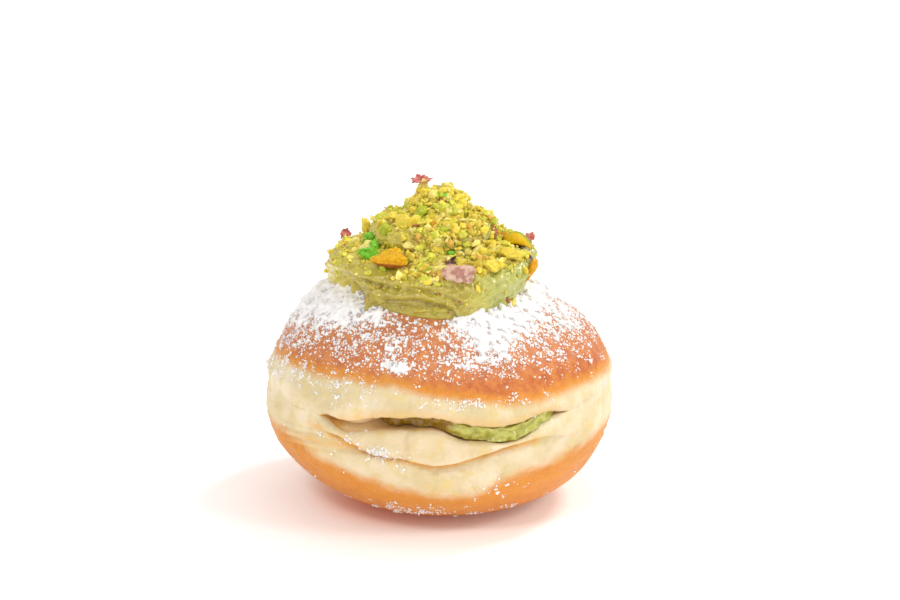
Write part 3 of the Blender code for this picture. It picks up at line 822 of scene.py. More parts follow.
def crust_over(grid, thick, lying):
    """A closed crust over the parts of a skin where something lies: points and faces."""
    def corners(values):
        after = np.roll(values, -1, axis=1)
        return [values[:-1], after[:-1], after[1:], values[1:]]

    kept = np.all(corners(lying), axis=0)
    both = kept & np.roll(kept, 1, axis=1)
    full = np.zeros_like(lying)
    full[1:-1] = both[1:] & both[:-1]
    kept &= np.any(corners(full), axis=0)
    either = kept | np.roll(kept, 1, axis=1)
    used = np.zeros_like(lying)
    used[:-1] |= either
    used[1:] |= either
    upper = np.cumsum(used.ravel()).reshape(used.shape) - 1
    lower = np.where(full, used.sum() + np.cumsum(full.ravel()).reshape(full.shape) - 1, upper)
    outward = outward_of(grid)
    top = grid + outward * np.where(full, thick, -0.5 * DRIFT_UNDER)[..., None]
    points = np.concatenate([top[used], (grid - outward * DRIFT_UNDER)[full]])
    over = np.stack([part[kept] for part in corners(upper)], axis=-1)
    below = np.stack([part[kept] for part in corners(lower)], axis=-1)[:, ::-1]
    return points, np.concatenate([over, below]).tolist()


def add_sugar_drifts():
    """Icing sugar where it lies thick: steep-edged clumps of powder on the crown."""
    azimuth = ring_azimuths(*DRIFT_COLUMNS)
    start = np.full_like(azimuth, 41.5)
    height = skin_rows(start, start + 20.2, DRIFT_ROWS)
    grid = bun_skin(azimuth, height)
    cover = sugar_cover(grid, np.broadcast_to(azimuth, height.shape), height)
    broad = cover + 0.75 * layered_noise(grid, 4.2, 2, seed=71) - 0.62
    lumps = granules(grid, 1.15, seed=79)
    value = broad + 0.55 * layered_noise(grid, 1.5, 2, seed=74) + 0.75 * (lumps - 0.45)
    mounds = np.maximum(slope_noise(grid, 2.6, seed=76), 0.0) + 0.6 * granules(grid, 2.1, seed=77)
    thick = 0.10 + 0.36 * ramp(broad, -0.1, 0.7) + (0.20 + 0.5 * ramp(broad, 0.0, 0.6)) * mounds
    thick = (thick + 0.34 * lumps) * ramp(value, -0.1, 0.3) + 0.06 * slope_noise(grid, 0.6, seed=78)
    drifts = mesh_piece("sugar_drifts", *crust_over(grid, np.maximum(thick, 0.05), value > 0.0))
    shade_sugar(drifts)


def add_sugar_grains(bun, azimuth):
    """Loose grains and small lumps of icing sugar, in clusters."""
    rng = np.random.default_rng(CRUMB_SEED)
    height = bun[..., 2]
    weight = zones(SUGAR_GRAINS, azimuth, height) + 0.9 * zones(SUGAR_DRIFTS, azimuth, height)
    patchy = ramp(layered_noise(bun, 3.0, 2, seed=81), -0.35, 0.35)
    weight = (weight * patchy + 0.002) * ramp(height, 0.8, 2.4)
    across, back = bun[..., 0] - CREAM_CENTRE[0], bun[..., 1] - CREAM_CENTRE[1]
    foot = along_front(FOOT_OUTLINE, np.degrees(np.arctan2(across, -back)))
    weight = weight * np.where(height > 50.0, ramp(np.hypot(across, back) - foot, 0.6, 1.4), 1.0)
    place, outward = sample_skin(bun, weight, GRAIN_CLUSTERS, rng)
    pick = rng.integers(0, len(place), GRAIN_COUNT)
    spread = rng.normal(0.0, 0.45, (len(pick), 3))
    spread -= outward[pick] * np.sum(spread * outward[pick], axis=1, keepdims=True)
    size = 0.13 + 0.24 * rng.random(len(pick)) ** 2.2 + 0.18 * (rng.random(len(pick)) > 0.94)
    centre = place[pick] + spread + outward[pick] * size[:, None] * 0.4
    grains = bits("sugar_grains", centre, size[:, None] * rng.uniform(0.8, 1.2, (len(pick), 3)), None, 1, rng)
    shade_sugar(grains)


def shade_sugar(piece):
    look = Shading(piece.name + "_look")
    powder = look.noise(0.35, 3.0, 0.6)
    colour = look.fade(powder, 0.3, 0.7, screen(238, 236, 235), screen(249, 248, 247))
    look.bump(powder, 0.12, 0.8)
    roughness = look.mix_number(powder, 0.8, 0.95)
    look.finish(piece, colour, roughness, soft=0.25, soft_reach=(1.0, 0.95, 0.9), soft_mm=0.6)


# ---------------------------------------------------------------- scattered bits

def sample_skin(grid, weight, count, rng):
    """Random places on a skin of rings, likelier where the weight is high, and the way out there."""
    across = np.roll(grid, -1, axis=1) - grid
    along = np.diff(grid, axis=0)
    way = np.cross(across[:-1], along)
    area = np.linalg.norm(way, axis=-1)
    share = (area * np.maximum(weight[:-1], 0.0)).ravel()
    row, column = np.divmod(rng.choice(share.size, count, p=share / share.sum()), grid.shape[1])
    first, second = rng.random((2, count, 1))
    place = grid[row, column] + first * across[row, column] + second * along[row, column]
    return place, way[row, column] / np.maximum(area[row, column], 1e-9)[:, None]


def ball(fineness):
    """Corner directions and triangles of a ball cut from an icosahedron."""
    shape = bmesh.new()
    bmesh.ops.create_icosphere(shape, subdivisions=fineness, radius=1.0)
    points = np.array([corner.co[:] for corner in shape.verts])
    faces = np.array([[corner.index for corner in face.verts] for face in shape.faces])
    shape.free()
    return points, faces


def random_ways(rng, *shape):
    """Random directions."""
    way = rng.normal(size=(*shape, 3))
    return way / np.linalg.norm(way, axis=-1, keepdims=True)


def chopped(directions, count, rng, cuts, rough, deepest):
    """Balls cut flat by a few random planes, as chopped nuts are: reaches along the directions."""
    facing = np.einsum("vj,ncj->nvc", directions, random_ways(rng, count, cuts))
    depth = rng.uniform(deepest, 0.9, (count, 1, cuts))
    reach = np.where(facing > 0.05, depth / np.maximum(facing, 0.05), 9.0).min(axis=2)
    lumpy = layered_noise(directions + 50.0 * rng.random((count, 1, 3)), 0.75, 2, seed=107)
    return np.minimum(reach, 1.0) * (1.0 + rough * lumpy)


def random_turns(rng, count):
    """Random rotation matrices."""
    first = random_ways(rng, count)
    second = np.cross(first, random_ways(rng, count))
    second /= np.linalg.norm(second, axis=-1, keepdims=True)
    return np.stack([first, second, np.cross(first, second)], axis=-1)


def bits(name, centre, half, tints, fineness, rng, cuts=6, turns=None, slot=None, rough=0.4, deepest=0.38):
    """One mesh of many chopped bits: centres, half sizes, and a colour for each."""
    count = len(centre)
    directions, triangles = ball(fineness)
    reach = chopped(directions, count, rng, cuts, rough, deepest)
    turns = random_turns(rng, count) if turns is None else turns
    corners = directions * reach[..., None] * half[:, None, :]
    points = np.einsum("nij,nvj->nvi", turns, corners) + centre[:, None, :]
    faces = triangles + len(directions) * np.arange(count)[:, None, None]
    attributes = {}
    if tints is not None:
        colours = np.concatenate([tints, np.ones((count, 1))], axis=1)
        attributes["tint"] = np.repeat(colours, len(directions), axis=0)
    points, faces = points.reshape(-1, 3), faces.reshape(-1, 3).tolist()
    return mesh_piece(name, points, faces, attributes, slot, smooth=fineness > 2)


# ---------------------------------------------------------------- filling

# How far inside the lips the filling's face lies: azimuth and depth.
FILLING_FACE = ((-60, 12.0), (-26, 8.5), (-19, 6.0), (-8, 4.2), (0, 2.6), (5, 1.5), (9, 0.6), (14, 0.1),
                (26, -0.1), (35, 0.1), (40, 0.8), (46, 3.0), (60, 12.0))
FILLING_INNER = 29.0


def add_filling():
    """The filling: a flat lens of cream whose lumpy face shows in the slit."""
    azimuth = ring_azimuths(*FILLING_COLUMNS)
    upper, lower = along_front(UPPER_LIP, azimuth), along_front(LOWER_LIP, azimuth)
    mouth = window(azimuth, MOUTH_FROM, MOUTH_TO, 14.0)
    face = BUN_RADIUS - 0.9 - along_front(FILLING_FACE, azimuth)
    reach = FILLING_INNER + (face - FILLING_INNER) * mouth
    low = lower * mouth + 27.6 * (1.0 - mouth) - 0.5
    high = upper * mouth + 32.6 * (1.0 - mouth) + 0.5
    rings = []
    for turn in np.linspace(-90.0, 90.0, FILLING_ROWS)[2:-2]:
        side = math.sin(math.radians(turn))
        share = min(1.0, (1.0 - abs(side) ** 9.0) ** 0.5 + 0.02)
        rings.append(around(azimuth, reach * share, (low + high) / 2 + (high - low) / 2 * side))
    grid = np.stack(rings)
    outward = grid[..., :2] / np.linalg.norm(grid[..., :2], axis=-1, keepdims=True)
    lumps = 1.5 * layered_noise(grid, 3.0, 2, seed=41) + 0.8 * granules(grid, 1.9, seed=45) - 0.3
    grid[..., :2] += outward * lumps[..., None]
    grid[..., 2] += 0.5 * layered_noise(grid, 2.2, 2, seed=47)
    # Painted shade: the filling is darkened where its face lies set back inside the slit.
    deep = BUN_RADIUS - np.linalg.norm(grid[..., :2], axis=-1)
    plain = np.zeros_like(deep)
    values = {"deep": ramp(deep, 1.2, 3.2), "dusty": plain, "fresh": plain}
    filling = skin_piece("filling_cream", grid, values, "filling_cream")
    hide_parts("filling")
    # Its own colour, and the colour of its painted shade.
    shade_cream(filling, "filling_look", screen(192, 193, 88), screen(156, 120, 0), 0.26)


def shade_cream(piece, name, light, shaded_colour, gloss):
    """Moist nut cream: the even green of olives with fine ground nut in it, painted shade where its points
    are marked for it, and wet highlights.
    """
    look = Shading(name)
    grains = look.noise(0.45)
    colour = look.fade(look.noise(5.0), 0.3, 0.75, light, tuple(0.86 * part for part in light))
    colour = look.tinge(colour, look.attribute("fresh"), 0.75, screen(168, 178, 94))
    # Painted shade: towards the shaded colour where the points are marked for it.
    colour = look.mix(look.attribute("deep"), colour, shaded_colour)
    colour = look.tinge(colour, look.step(grains, 0.54, 0.68), 0.40, screen(222, 196, 112))
    spots = look.step(look.cells(1.2).outputs["Distance"], 0.17, 0.10)
    fleck = look.maths("MULTIPLY", spots, look.step(look.noise(3.0), 0.4, 0.7))
    colour = look.tinge(colour, fleck, 0.8, screen(170, 110, 60))
    ground = look.maths("ADD", look.attribute("dusty"), look.maths("SUBTRACT", look.noise(0.8), 0.8))
    crumbs = look.mix(look.cells(0.8).outputs["Color"], screen(168, 140, 40), screen(226, 206, 104))
    colour = look.fade(ground, 0.0, 0.2, colour, crumbs)
    roughness = look.mix_number(look.step(look.noise(1.6), 0.35, 0.7), gloss, gloss + 0.25)
    look.bump(look.maths("ADD", look.maths("MULTIPLY", grains, 0.8), look.noise(1.2)), 0.3, wet=True)
    look.feed(look.shader, {"Coat Weight": 1.0, "Coat Roughness": 0.07, "Coat IOR": 1.6})
    look.finish(piece, colour, roughness, soft=0.2, soft_reach=(0.9, 0.8, 0.3), soft_mm=1.0, shine=0.15)


# ---------------------------------------------------------------- cream swirl

def swirl_centre(tier):
    """The swirl's middle, which wanders from over its foot to the tip."""
    move = ramp(tier, 0.6, 2.0)
    return [foot + (tip - foot) * move for foot, tip in zip(CREAM_CENTRE, CREAM_TIP)]


def on_crown(grid, clear):
    """Heights over the bun's crown, a given distance clear of it."""
    radius = np.hypot(grid[..., 0] - CROWN_LEAN, grid[..., 1])
    return crown_height(np.minimum(radius, 44.0)) + clear


def coil_bulge(tier, azimuth):
    """How far the piped coil stands out and up; round the back each turn climbs to the next tier."""
    step = 0.5 * ramp(azimuth, 100.0, 180.0) - 0.5 * ramp(-azimuth, 100.0, 180.0)
    share = (tier - step) % 1.0
    knots = np.array(TIER_BULGES)
    bulge = np.interp(tier, knots[:, 0], knots[:, 1]) * np.sin(math.pi * share) ** 0.8
    lift = np.interp(tier, (0.0, 0.9, 1.1, 3.0), (0.18, 0.18, 0.35, 0.35)) + 0.32 * share
    return bulge * (0.95 - 0.35 * share * share), bulge * lift


def swirl_skin(tier, azimuth):
    """Points of the swirl's skin at a tier number (0 at the foot, 3 at the tip) and an azimuth."""
    creases = np.array(CREAM_CREASES)
    numbers = np.arange(len(creases))
    radius, height = np.interp(tier, numbers, creases[:, 0]), np.interp(tier, numbers, creases[:, 1])
    out, up = coil_bulge(tier, azimuth)
    near_foot = 1.0 - ramp(tier, 0.1, 0.7)
    foot = (along_front(FOOT_OUTLINE, azimuth) - CREAM_CREASES[0][0]) * (1.0 - ramp(tier, 0.08, 0.5))
    rim = np.array(RIM_OUTLINE)
    on_rim = window(tier, 0.38, 0.66, 0.3)
    out = out + on_rim * along_front(rim[:, :2], azimuth, 5.0)
    up = up + on_rim * along_front(rim[:, ::2], azimuth, 5.0)
    sway = 0.6 * np.sin(np.radians(azimuth + 80.0 * tier)) * np.sin(math.pi * tier / 3.0)
    return around(azimuth, radius + out + sway + foot, height + up, swirl_centre(tier)), near_foot


def smears(azimuth, height):
    """Ledges at the front, where each stroke of cream lies over the one before."""
    total = 0.0
    for line, start, end, size in ((UPPER_SMEAR, -52.0, 14.0, 1.0), (LOWER_SMEAR, -24.0, 12.0, 1.1)):
        above = height - along_front(line, azimuth, 1.0)
        total = total + window(azimuth, start, end, 7.0) * overlap(above, 0.7 * size, 2.2, 0.9 * size, 1.6)
    return total


def right_notch(azimuth, tier):
    """The sharp fold at the right, where the top tier rises from the ledge of the one below."""
    return bell(tier - 2.03, 0.24) * window(azimuth, 50.0, 150.0, 24.0)


def cream_relief(grid, azimuth, tier):
    """What the knife and the ground nut leave on the swirl: streaks, ledges, lumps and grit."""
    smooth_front = window(azimuth, -44.0, 46.0, 9.0) * (1.0 - ramp(grid[..., 2], 59.5, 62.0))
    rim = window(tier, 0.42, 0.72, 0.14)
    stroke = np.stack([azimuth * 0.045, tier * 6.2 - azimuth * 0.02, np.zeros_like(azimuth)], axis=-1)
    streaks = 0.60 * layered_noise(stroke, 1.0, 2, seed=51)
    streaks = streaks + 0.55 * layered_noise(stroke * 2.4, 1.0, 2, seed=55)
    fine_lumps = (0.35 + 0.55 * rim) * layered_noise(grid, 2.1, 2, seed=61)
    lumps = 0.75 * layered_noise(grid, 4.4, 2, seed=57) + fine_lumps
    grains = granules(grid, 1.7, seed=65) + 0.40 * granules(grid, 0.95, seed=67) - 0.5
    near_tip = ramp(tier, 1.2, 1.8)
    strokes = (streaks + smears(azimuth, grid[..., 2])) * (1.0 - 0.75 * near_tip)
    heaps = 0.9 * slope_noise(grid, 3.0, seed=69) * ramp(tier, 1.3, 1.8)
    relief = strokes + lumps * (1.0 - 0.6 * near_tip) + (0.52 - 0.18 * smooth_front) * grains + heaps
    relief = relief - 2.9 * right_notch(azimuth, tier)
    for node, _ in CLEAR_NUTS:
        near = bell(np.linalg.norm(grid - middle_of(node), axis=-1), 4.6)
        relief = relief * (1.0 - near) - 1.1 * near
    return relief, strokes


def cream_teeth(azimuth, tier):
    """The torn teeth at the foot, each a narrow point drawn out over the crown."""
    total = 0.0
    for place, length, width in CREAM_TEETH:
        reach = np.minimum(1.0, np.abs(wrap(azimuth + 14.0 * tier - place)) / width)
        total = total + length * (1.0 - reach) ** 1.5
    return total * (1.0 - ramp(tier, 0.03, 0.22))


def cream_grid():
    """The swirl's skin from the foot to the tip, with azimuths, tier numbers and the share of painted shade
    in the hollows between strokes.
    """
    azimuth = ring_azimuths(*CREAM_COLUMNS) + np.zeros((CREAM_ROWS, 1))
    tier = 2.97 * np.linspace(0.0, 1.0, CREAM_ROWS)[:, None] + np.zeros_like(azimuth)
    grid, near_foot = swirl_skin(tier, azimuth)
    drop = on_crown(grid[0], 0.0) - CREAM_CREASES[0][1]
    grid[..., 2] += drop * near_foot
    above_crown = grid[..., 2] - on_crown(grid, 0.0)
    relief, strokes = cream_relief(grid, azimuth, tier)
    push = relief * ramp(tier, 0.0, 0.08) + cream_teeth(azimuth, tier)
    middle = np.stack(np.broadcast_arrays(*swirl_centre(tier), grid[..., 2]), axis=-1)
    outward = grid - middle
    outward = outward / np.maximum(np.linalg.norm(outward, axis=-1, keepdims=True), 1e-6)
    outward[..., 2] = 0.5 * ramp(tier, 0.05, 0.25)
    grid = grid + push[..., None] * outward
    hugging = 1.0 - ramp(tier, 0.04, 0.2)
    grid[..., 2] += hugging * (on_crown(grid, 0.0) + above_crown - grid[..., 2])
    grid[..., 2] = np.maximum(grid[..., 2], on_crown(grid, -0.3))
    return grid, azimuth, tier, ramp(-strokes, 0.15, 1.1)


def add_cream():
    """The swirl, its foot pressed onto the crown."""
    grid, azimuth, tier, hollow_shade = cream_grid()
    foot = grid[0]
    middle = foot.mean(axis=0)
    under = []
    for share in (0.1, 0.4, 0.7, 0.95):
        ring = middle + (foot - middle) * share
        ring[:, 2] = on_crown(ring, -0.3)
        under.append(ring)
    weight = crumb_weight(grid, azimuth, tier)
    # Painted shade: low at the front left, in the hollows between strokes, and a painted shadow under the
    # kernel.
    front_left_shade = window(azimuth, -48.0, 14.0, 16.0) * (1.0 - ramp(grid[..., 2], 62.0, 70.0))
    fresh = window(azimuth, 42.0, 150.0, 26.0)
    below_kernel = middle_of("nut_kernel") - (0.0, 0.0, 1.0)
    shadow = bell(np.linalg.norm(grid - below_kernel, axis=-1), 3.2)
    beneath = np.zeros((len(under), grid.shape[1]))
    values = {}
    for key, part in (("deep", 0.38 * front_left_shade + 0.42 * hollow_shade + shadow), ("dusty", weight), ("fresh", fresh)):
        values[key] = np.concatenate([beneath, part])
    cream = skin_piece("cream_swirl", np.concatenate([np.stack(under), grid]), values, "swirl_cream")
    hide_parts("cream")
    # Its own colour, and the colour of its painted shade.
    shade_cream(cream, "cream_look", screen(206, 192, 66), screen(120, 100, 6), 0.24)
    return cream, grid, weight


# ---------------------------------------------------------------- nuts, crumbs and petals

TINTS = {
    "yellow": screen(246, 224, 86),
    "bright": screen(242, 218, 28),
    "pale": screen(250, 236, 142),
    "lime": screen(222, 224, 86),
    "green": screen(186, 200, 48),
    "leaf": screen(128, 208, 54),
    "orange": screen(240, 174, 18),
    "golden": screen(240, 196, 92),
    "skin": screen(176, 112, 84),
    "rose": screen(202, 126, 114),
    "mauve": screen(208, 178, 156),
    "plum": screen(88, 52, 66),
}
# Crumbs in three sizes: name, count, least and greatest half width, fineness, how high they
# heap, what their weight is raised to, what is added to it, and the shares of the tints.
CRUMBS = (
    ("crumbs_fine", 4600, 0.18, 0.50, 1, 0.6, 1.0, 0.006,
     {"yellow": 0.40, "pale": 0.25, "lime": 0.18, "golden": 0.08, "skin": 0.06, "green": 0.03}),
    ("crumbs", 1760, 0.46, 1.15, 2, 0.6, 1.5, 0.0,
     {"yellow": 0.44, "pale": 0.28, "lime": 0.19, "golden": 0.05, "skin": 0.012, "green": 0.03}),
    ("crumbs_large", 120, 0.90, 1.5, 3, 0.3, 2.5, 0.0,
     {"yellow": 0.5, "pale": 0.2, "lime": 0.15, "green": 0.12, "orange": 0.03}),
)

# How thick crumbs lie at the front right and elsewhere, by tier number: the tiers' tops carry
# them, their walls are nearly bare.
FRONT_CRUMBS = ((0.0, 0.02), (0.34, 0.03), (0.5, 0.20), (0.68, 0.85), (0.9, 0.95), (1.15, 0.60), (1.45, 0.70),
                (1.6, 1.0), (3.0, 1.0))
OTHER_CRUMBS = ((0.0, 0.01), (0.4, 0.02), (0.6, 0.16), (0.85, 0.50), (1.0, 0.25), (1.1, 0.06), (1.42, 0.10),
                (1.62, 0.85), (1.85, 1.0), (3.0, 1.0))


def crumb_weight(grid, azimuth, tier):
    """Where crumbs lie on the swirl, from 0 to 1."""
    front = window(azimuth, -14.0, 70.0, 16.0)
    weight = front * along_front(FRONT_CRUMBS, tier, 0.04)
    weight = weight + (1.0 - front) * along_front(OTHER_CRUMBS, tier, 0.04)
    patchy = ramp(layered_noise(grid, 4.0, 2, seed=91), -0.45, 0.20)
    patchy = patchy + (1.0 - patchy) * ramp(tier, 1.4, 1.9)
    return weight * patchy * (1.0 - 0.8 * right_notch(azimuth, tier))


def crumb_tints(rng, count, shares):
    """A colour for each crumb, by the shares of the tints, each a little lighter or darker."""
    palette = np.array([TINTS[name] for name in shares])
    pick = rng.choice(len(shares), count, p=np.array(list(shares.values())) / sum(shares.values()))
    return palette[pick] * rng.uniform(0.72, 1.06, (count, 1))


def clear_places(skin):
    """Balls that stay free of crumbs, so that the larger pieces show: centre and radius."""
    balls = []
    for across, down, length, width, _, turn, _ in CLEAR_CHUNKS:
        balls.append((seat_at(across, down, turn, skin)[0], 0.32 * (length + width) - 0.3))
    for across, down, length, width, turn, *_ in CLEAR_PETALS:
        place, axes = seat_at(across, down, turn, skin)
        for step in (-0.3, 0.0, 0.3):
            balls.append((place + step * length * axes[:, 0], 0.42 * width))
    for node, reach in CLEAR_NUTS:
        low, high = (np.array(corner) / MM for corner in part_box(node))
        for share in (0.2, 0.5, 0.8):
            middle = (low + high) / 2.0
            middle[0] = low[0] + (high[0] - low[0]) * share
            balls.append((middle, reach))
    return balls


def scatter_crumbs(name, grid, weight, count, low, high, fineness, heap, shares, rng, clear):
    """Crumbs of sizes between two half widths, some lying on others up to `heap` above the cream."""
    place, outward = sample_skin(grid, weight, count, rng)
    free = np.ones(count, dtype=bool)
    for middle, reach in clear:
        free &= np.linalg.norm(place - middle, axis=1) > reach
    place, outward = place[free], outward[free]
    count = len(place)
    half = low + (high - low) * rng.random(count) ** 2.2
    lift = half * 0.35 + heap * rng.random(count) ** 1.6 * ramp(place[:, 2], 66.0, 78.0)
    shape = half[:, None] * rng.uniform(0.7, 1.55, (count, 3))
    tints = crumb_tints(rng, count, shares)
    crumbs = bits(name, place + outward * lift[:, None], shape, tints, fineness, rng,
                  slot="golden_nut", rough=0.55, deepest=0.26)
    shade_bits(crumbs, 0.62, 0.25)


def shade_bits(piece, roughness, soft):
    """Nut flesh: its tint, darker and lighter in fine grains."""
    look = Shading(piece.name + "_look")
    grain = look.noise(0.5, 4.0, 0.6)
    colour = look.fade(grain, 0.60, 0.35, look.attribute("tint", "Color"), (0.88, 0.80, 0.55), "MULTIPLY")
    colour = look.tinge(colour, look.step(grain, 0.55, 0.75), 0.45, (1.0, 0.93, 0.60))
    colour = look.fade(look.noise(1.5), 0.50, 0.62, colour, (0.90, 0.97, 0.70), "MULTIPLY")
    look.bump(grain, 0.25, 0.8)
    look.finish(piece, colour, look.mix_number(grain, roughness - 0.12, roughness + 0.12), soft=soft,
                soft_reach=(1.0, 0.8, 0.2), soft_mm=0.8, shine=0.3)


def seat_at(across, down, turn, skin):
    """Where the swirl carries what shows at a pixel of the photograph, and how it lies there."""
    start, way = photo_ray(across, down)
    place, outward, _, _ = skin.ray_cast(start, way)
    if place is None:
        steps = [start + way * share * CAMERA_DISTANCE * MM for share in np.linspace(0.93, 1.07, 90)]
        place, outward, _, _ = min((skin.find_nearest(step) for step in steps), key=lambda found: found[3])
    _, right, up, _ = camera_frame()
    angle = math.radians(turn)
    outward = np.array(outward)
    along = right * math.cos(angle) + up * math.sin(angle)
    along -= outward * along.dot(outward)
    along /= np.linalg.norm(along)
    return np.array(place) / MM, np.stack([along, np.cross(outward, along), outward], axis=-1)


def add_nut_chunks(skin):
    """The larger bits of nut, each lying where the photograph shows it."""
    rng = np.random.default_rng(CRUMB_SEED + 1)
    seats = [seat_at(across, down, turn, skin) for across, down, _, _, _, turn, _ in NUT_CHUNKS]
    half = np.array([row[2:5] for row in NUT_CHUNKS]) / 2.0
    centre = np.array([place + axes[:, 2] * thick * 0.55 for (place, axes), thick in zip(seats, half[:, 2])])
    tints = 0.88 * np.array([TINTS[row[6]] for row in NUT_CHUNKS])
    chunks = bits("nut_chunks", centre, half * 1.3, tints, 4, rng, 7, np.stack([axes for _, axes in seats]),
                  "green_nut", 0.36, 0.28)
    chunks.data.set_sharp_from_angle(angle=math.radians(26.0))
    shade_bits(chunks, 0.5, 0.35)


def petal_grid(length, width, rng):
    """A dried petal: a thin crumpled sheet with a torn edge, as rings out along its underside
    and back along its top."""
    angle = np.linspace(-180.0, 180.0, 44, endpoint=False)
    shift = rng.uniform(0.0, 50.0)
    across, along = 3.0 * np.cos(np.radians(angle)), 3.0 * np.sin(np.radians(angle))
    round_edge = np.stack([across, along, np.full_like(angle, shift)], axis=-1)
    edge = 1.0 + 0.75 * layered_noise(round_edge, 1.3, 3, seed=95)
    shares = (0.15, 0.35, 0.55, 0.75, 0.9, 1.0)
    rows = []
    for side, order in ((-1.0, shares), (1.0, shares[::-1])):
        for share in order:
            flat = around(angle, share * edge, 0.0) * (0.5 * length, 0.5 * width, 1.0)
            crumple = 0.9 * layered_noise(flat + shift, 1.5, 2, seed=97)
            flat[:, 2] = crumple + 0.88 * width * (flat[:, 1] / width) ** 2 + 0.07 * side
            rows.append(flat)
    return np.stack(rows)


def add_petals(skin):
    """Flakes of dried petal, standing up or lying on the crumbs."""
    rng = np.random.default_rng(CRUMB_SEED + 2)
    points, faces, tints = [], [], []
    for across, down, length, width, turn, lift, lean, tint in PETALS:
        place, axes = seat_at(across, down, turn, skin)
        sheet, skin_faces = capped_skin(petal_grid(length, width, rng))
        tilt = np.array(Matrix.Rotation(math.radians(lean), 3, "X"))
        start = sum(len(part) for part in points)
        points.append(sheet @ (axes @ tilt).T + place + axes[:, 2] * lift)
        faces += [[start + corner for corner in face] for face in skin_faces]
        tints.append(np.tile((*TINTS[tint], 1.0), (len(sheet), 1)))
    petals = mesh_piece("petals", np.concatenate(points), faces, {"tint": np.concatenate(tints)})
    look = Shading("dried_petal")
    veins = look.noise(1.6, 3.0, 0.5, (1.0, 1.6, 1.0))
    colour = look.fade(veins, 0.55, 0.4, look.attribute("tint", "Color"), (0.64, 0.44, 0.46), "MULTIPLY")
    colour = look.tinge(colour, look.step(veins, 0.55, 0.7), 0.35, screen(232, 190, 150))
    look.bump(veins, 0.15, 0.8)
    roughness = look.mix_number(veins, 0.45, 0.7)
    look.finish(petals, colour, roughness, soft=0.3, soft_reach=(1.0, 0.4, 0.4), soft_mm=0.5)


def refined_node(node, name, grain_size):
    """A finer copy of a packed nut: the object, its roughened points and the ways they face."""
    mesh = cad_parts[node].data.copy()
    shape = bmesh.new()
    shape.from_mesh(mesh)
    bmesh.ops.remove_doubles(shape, verts=shape.verts, dist=0.00001)
    shape.to_mesh(mesh)
    shape.free()
    piece = in_scene(name, mesh)
    remesh = piece.modifiers.new("even", "REMESH")
    remesh.mode = "VOXEL"
    remesh.voxel_size = grain_size * MM
    smooth = piece.modifiers.new("soften", "SMOOTH")
    smooth.iterations = 5
    fine = bpy.data.meshes.new_from_object(piece.evaluated_get(bpy.context.evaluated_depsgraph_get()))
    piece.modifiers.clear()
    piece.data = fine
    fine.materials.clear()
    fine.shade_smooth()
    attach(piece, "root")
    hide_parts(node)
    place = np.array([corner.co[:] for corner in fine.vertices]) / MM
    way = np.array([corner.normal[:] for corner in fine.vertices])
    bumps = 0.16 * layered_noise(place, 1.2, 3, seed=101) + 0.05 * layered_noise(place, 0.4, 1, seed=103)
    return piece, place + way * bumps[:, None], way


def finish_nut(look, piece, colour, grain, soft_reach):
    """What the looks of the two packed nuts have in common."""
    look.bump(grain, 0.2, 0.6)
    roughness = look.mix_number(grain, 0.35, 0.5)
    look.finish(piece, colour, roughness, soft=0.3, soft_reach=soft_reach, soft_mm=1.0, shine=0.25)


def add_kernel():
    """Half a green nut at the right: yellow flesh, a green rim and purple-brown skin outside."""
    kernel, place, _ = refined_node("nut_kernel", "nut_kernel_detail", 0.18)
    away = place - place.mean(axis=0)
    arch = np.square(away[:, 0] / np.abs(away[:, 0]).max())
    place[:, 2] += 0.4 - 2.1 * arch - 0.20 * np.minimum(away[:, 2], 0.0)
    kernel.data.vertices.foreach_set("co", (place * MM).ravel())
    rim = away @ np.array([0.38, 0.55, 0.74])
    add_values(kernel.data, "rim", ramp(rim / np.abs(rim).max(), -0.2, 0.9))
    look = Shading("nut_kernel_look")
    grain = look.noise(0.6, 4.0, 0.6)
    uneven = look.maths("MULTIPLY", look.maths("SUBTRACT", grain, 0.5), 0.5)
    edge = look.maths("ADD", look.attribute("rim"), uneven)
    flesh = look.mix(grain, screen(206, 154, 0), screen(226, 194, 8))
    colour = look.fade(edge, 0.20, 0.46, flesh, screen(150, 164, 16))
    colour = look.fade(edge, 0.82, 0.96, colour, screen(126, 74, 70))
    finish_nut(look, kernel, colour, grain, (1.0, 0.8, 0.2))


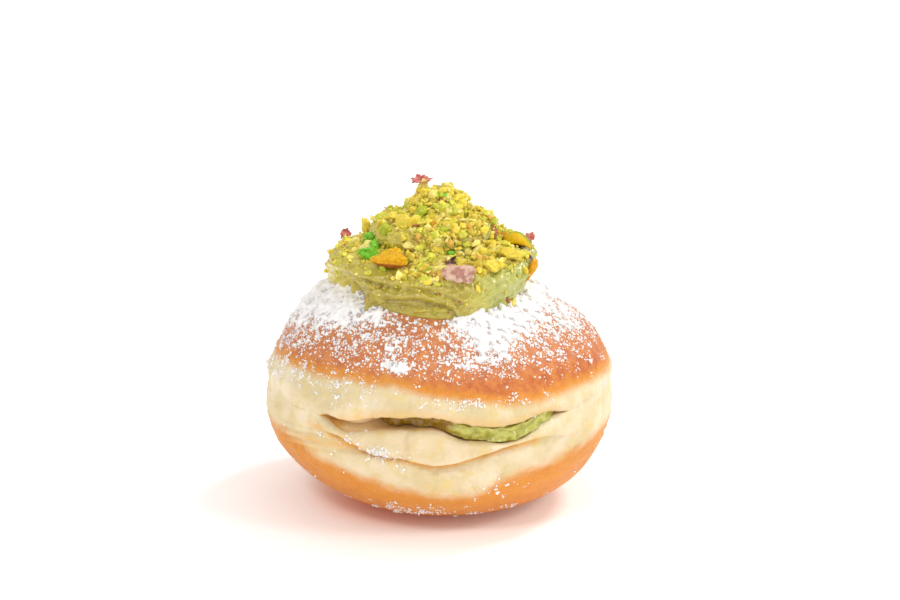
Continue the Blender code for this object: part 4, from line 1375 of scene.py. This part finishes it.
def add_slice():
    """A sliver of golden nut at the left, brown beneath as painted shade."""
    sliver, place, way = refined_node("nut_slice", "nut_slice_detail", 0.15)
    middle = place.mean(axis=0)
    thin, wide, long = np.linalg.svd(place - middle, full_matrices=False)[2][::-1]
    long = long * math.copysign(1.0, long[0])
    wide = wide * math.copysign(1.0, wide[2])
    along, across, through = ((place - middle) @ axis for axis in (long, wide, thin))
    share = along / np.abs(along).max()
    peak = np.interp(share, (-1.0, -0.6, -0.1, 0.5, 0.9, 1.0), (0.15, 0.8, 1.4, 1.35, 1.2, 0.9))
    keel = np.interp(share, (-1.0, -0.5, 0.3, 1.0), (0.3, 0.6, 0.7, 0.5))
    across = across * np.where(across > 0.0, peak, keel) + 0.3 * layered_noise(place, 1.6, 2, seed=109)
    through = through * np.interp(share, (-1.0, -0.5, 0.1, 1.0), (0.45, 0.8, 1.1, 0.8))
    through = through + 0.5 * layered_noise(place, 1.8, 3, seed=105) * np.sign(through)
    place = middle + along[:, None] * long + across[:, None] * wide + through[:, None] * thin
    sliver.data.vertices.foreach_set("co", (place * MM).ravel())
    # Painted shade: brown on its low and downward-facing parts.
    low = place[:, 2] - place[:, 2].mean()
    under = ramp(-low, 0.2, 1.5) * 0.8 + ramp(-way[:, 2], 0.1, 0.7) * 0.5
    add_values(sliver.data, "under", under)
    look = Shading("nut_slice_look")
    grain = look.noise(0.7, 4.0, 0.6)
    flesh = look.fade(grain, 0.35, 0.7, screen(204, 144, 0), screen(224, 184, 22))
    colour = look.fade(look.attribute("under"), 0.45, 0.95, flesh, screen(150, 76, 4))
    finish_nut(look, sliver, colour, grain, (1.0, 0.7, 0.15))


def add_toppings(cream, grid, weight):
    rng = np.random.default_rng(CRUMB_SEED)
    skin = BVHTree.FromPolygons([corner.co for corner in cream.data.vertices],
                                [face.vertices[:] for face in cream.data.polygons])
    clear = clear_places(skin)
    for name, count, low, high, fineness, heap, power, more, shares in CRUMBS:
        spread = weight ** power + more
        scatter_crumbs(name, grid, spread, count, low, high, fineness, heap, shares, rng, clear)
    add_nut_chunks(skin)
    add_petals(skin)
    add_kernel()
    add_slice()


# ---------------------------------------------------------------- making it all

def main():
    add_camera()
    add_floor()
    add_light()
    bun, azimuth = add_bun()
    add_sugar_drifts()
    add_sugar_grains(bun, azimuth)
    add_filling()
    add_toppings(*add_cream())


main()
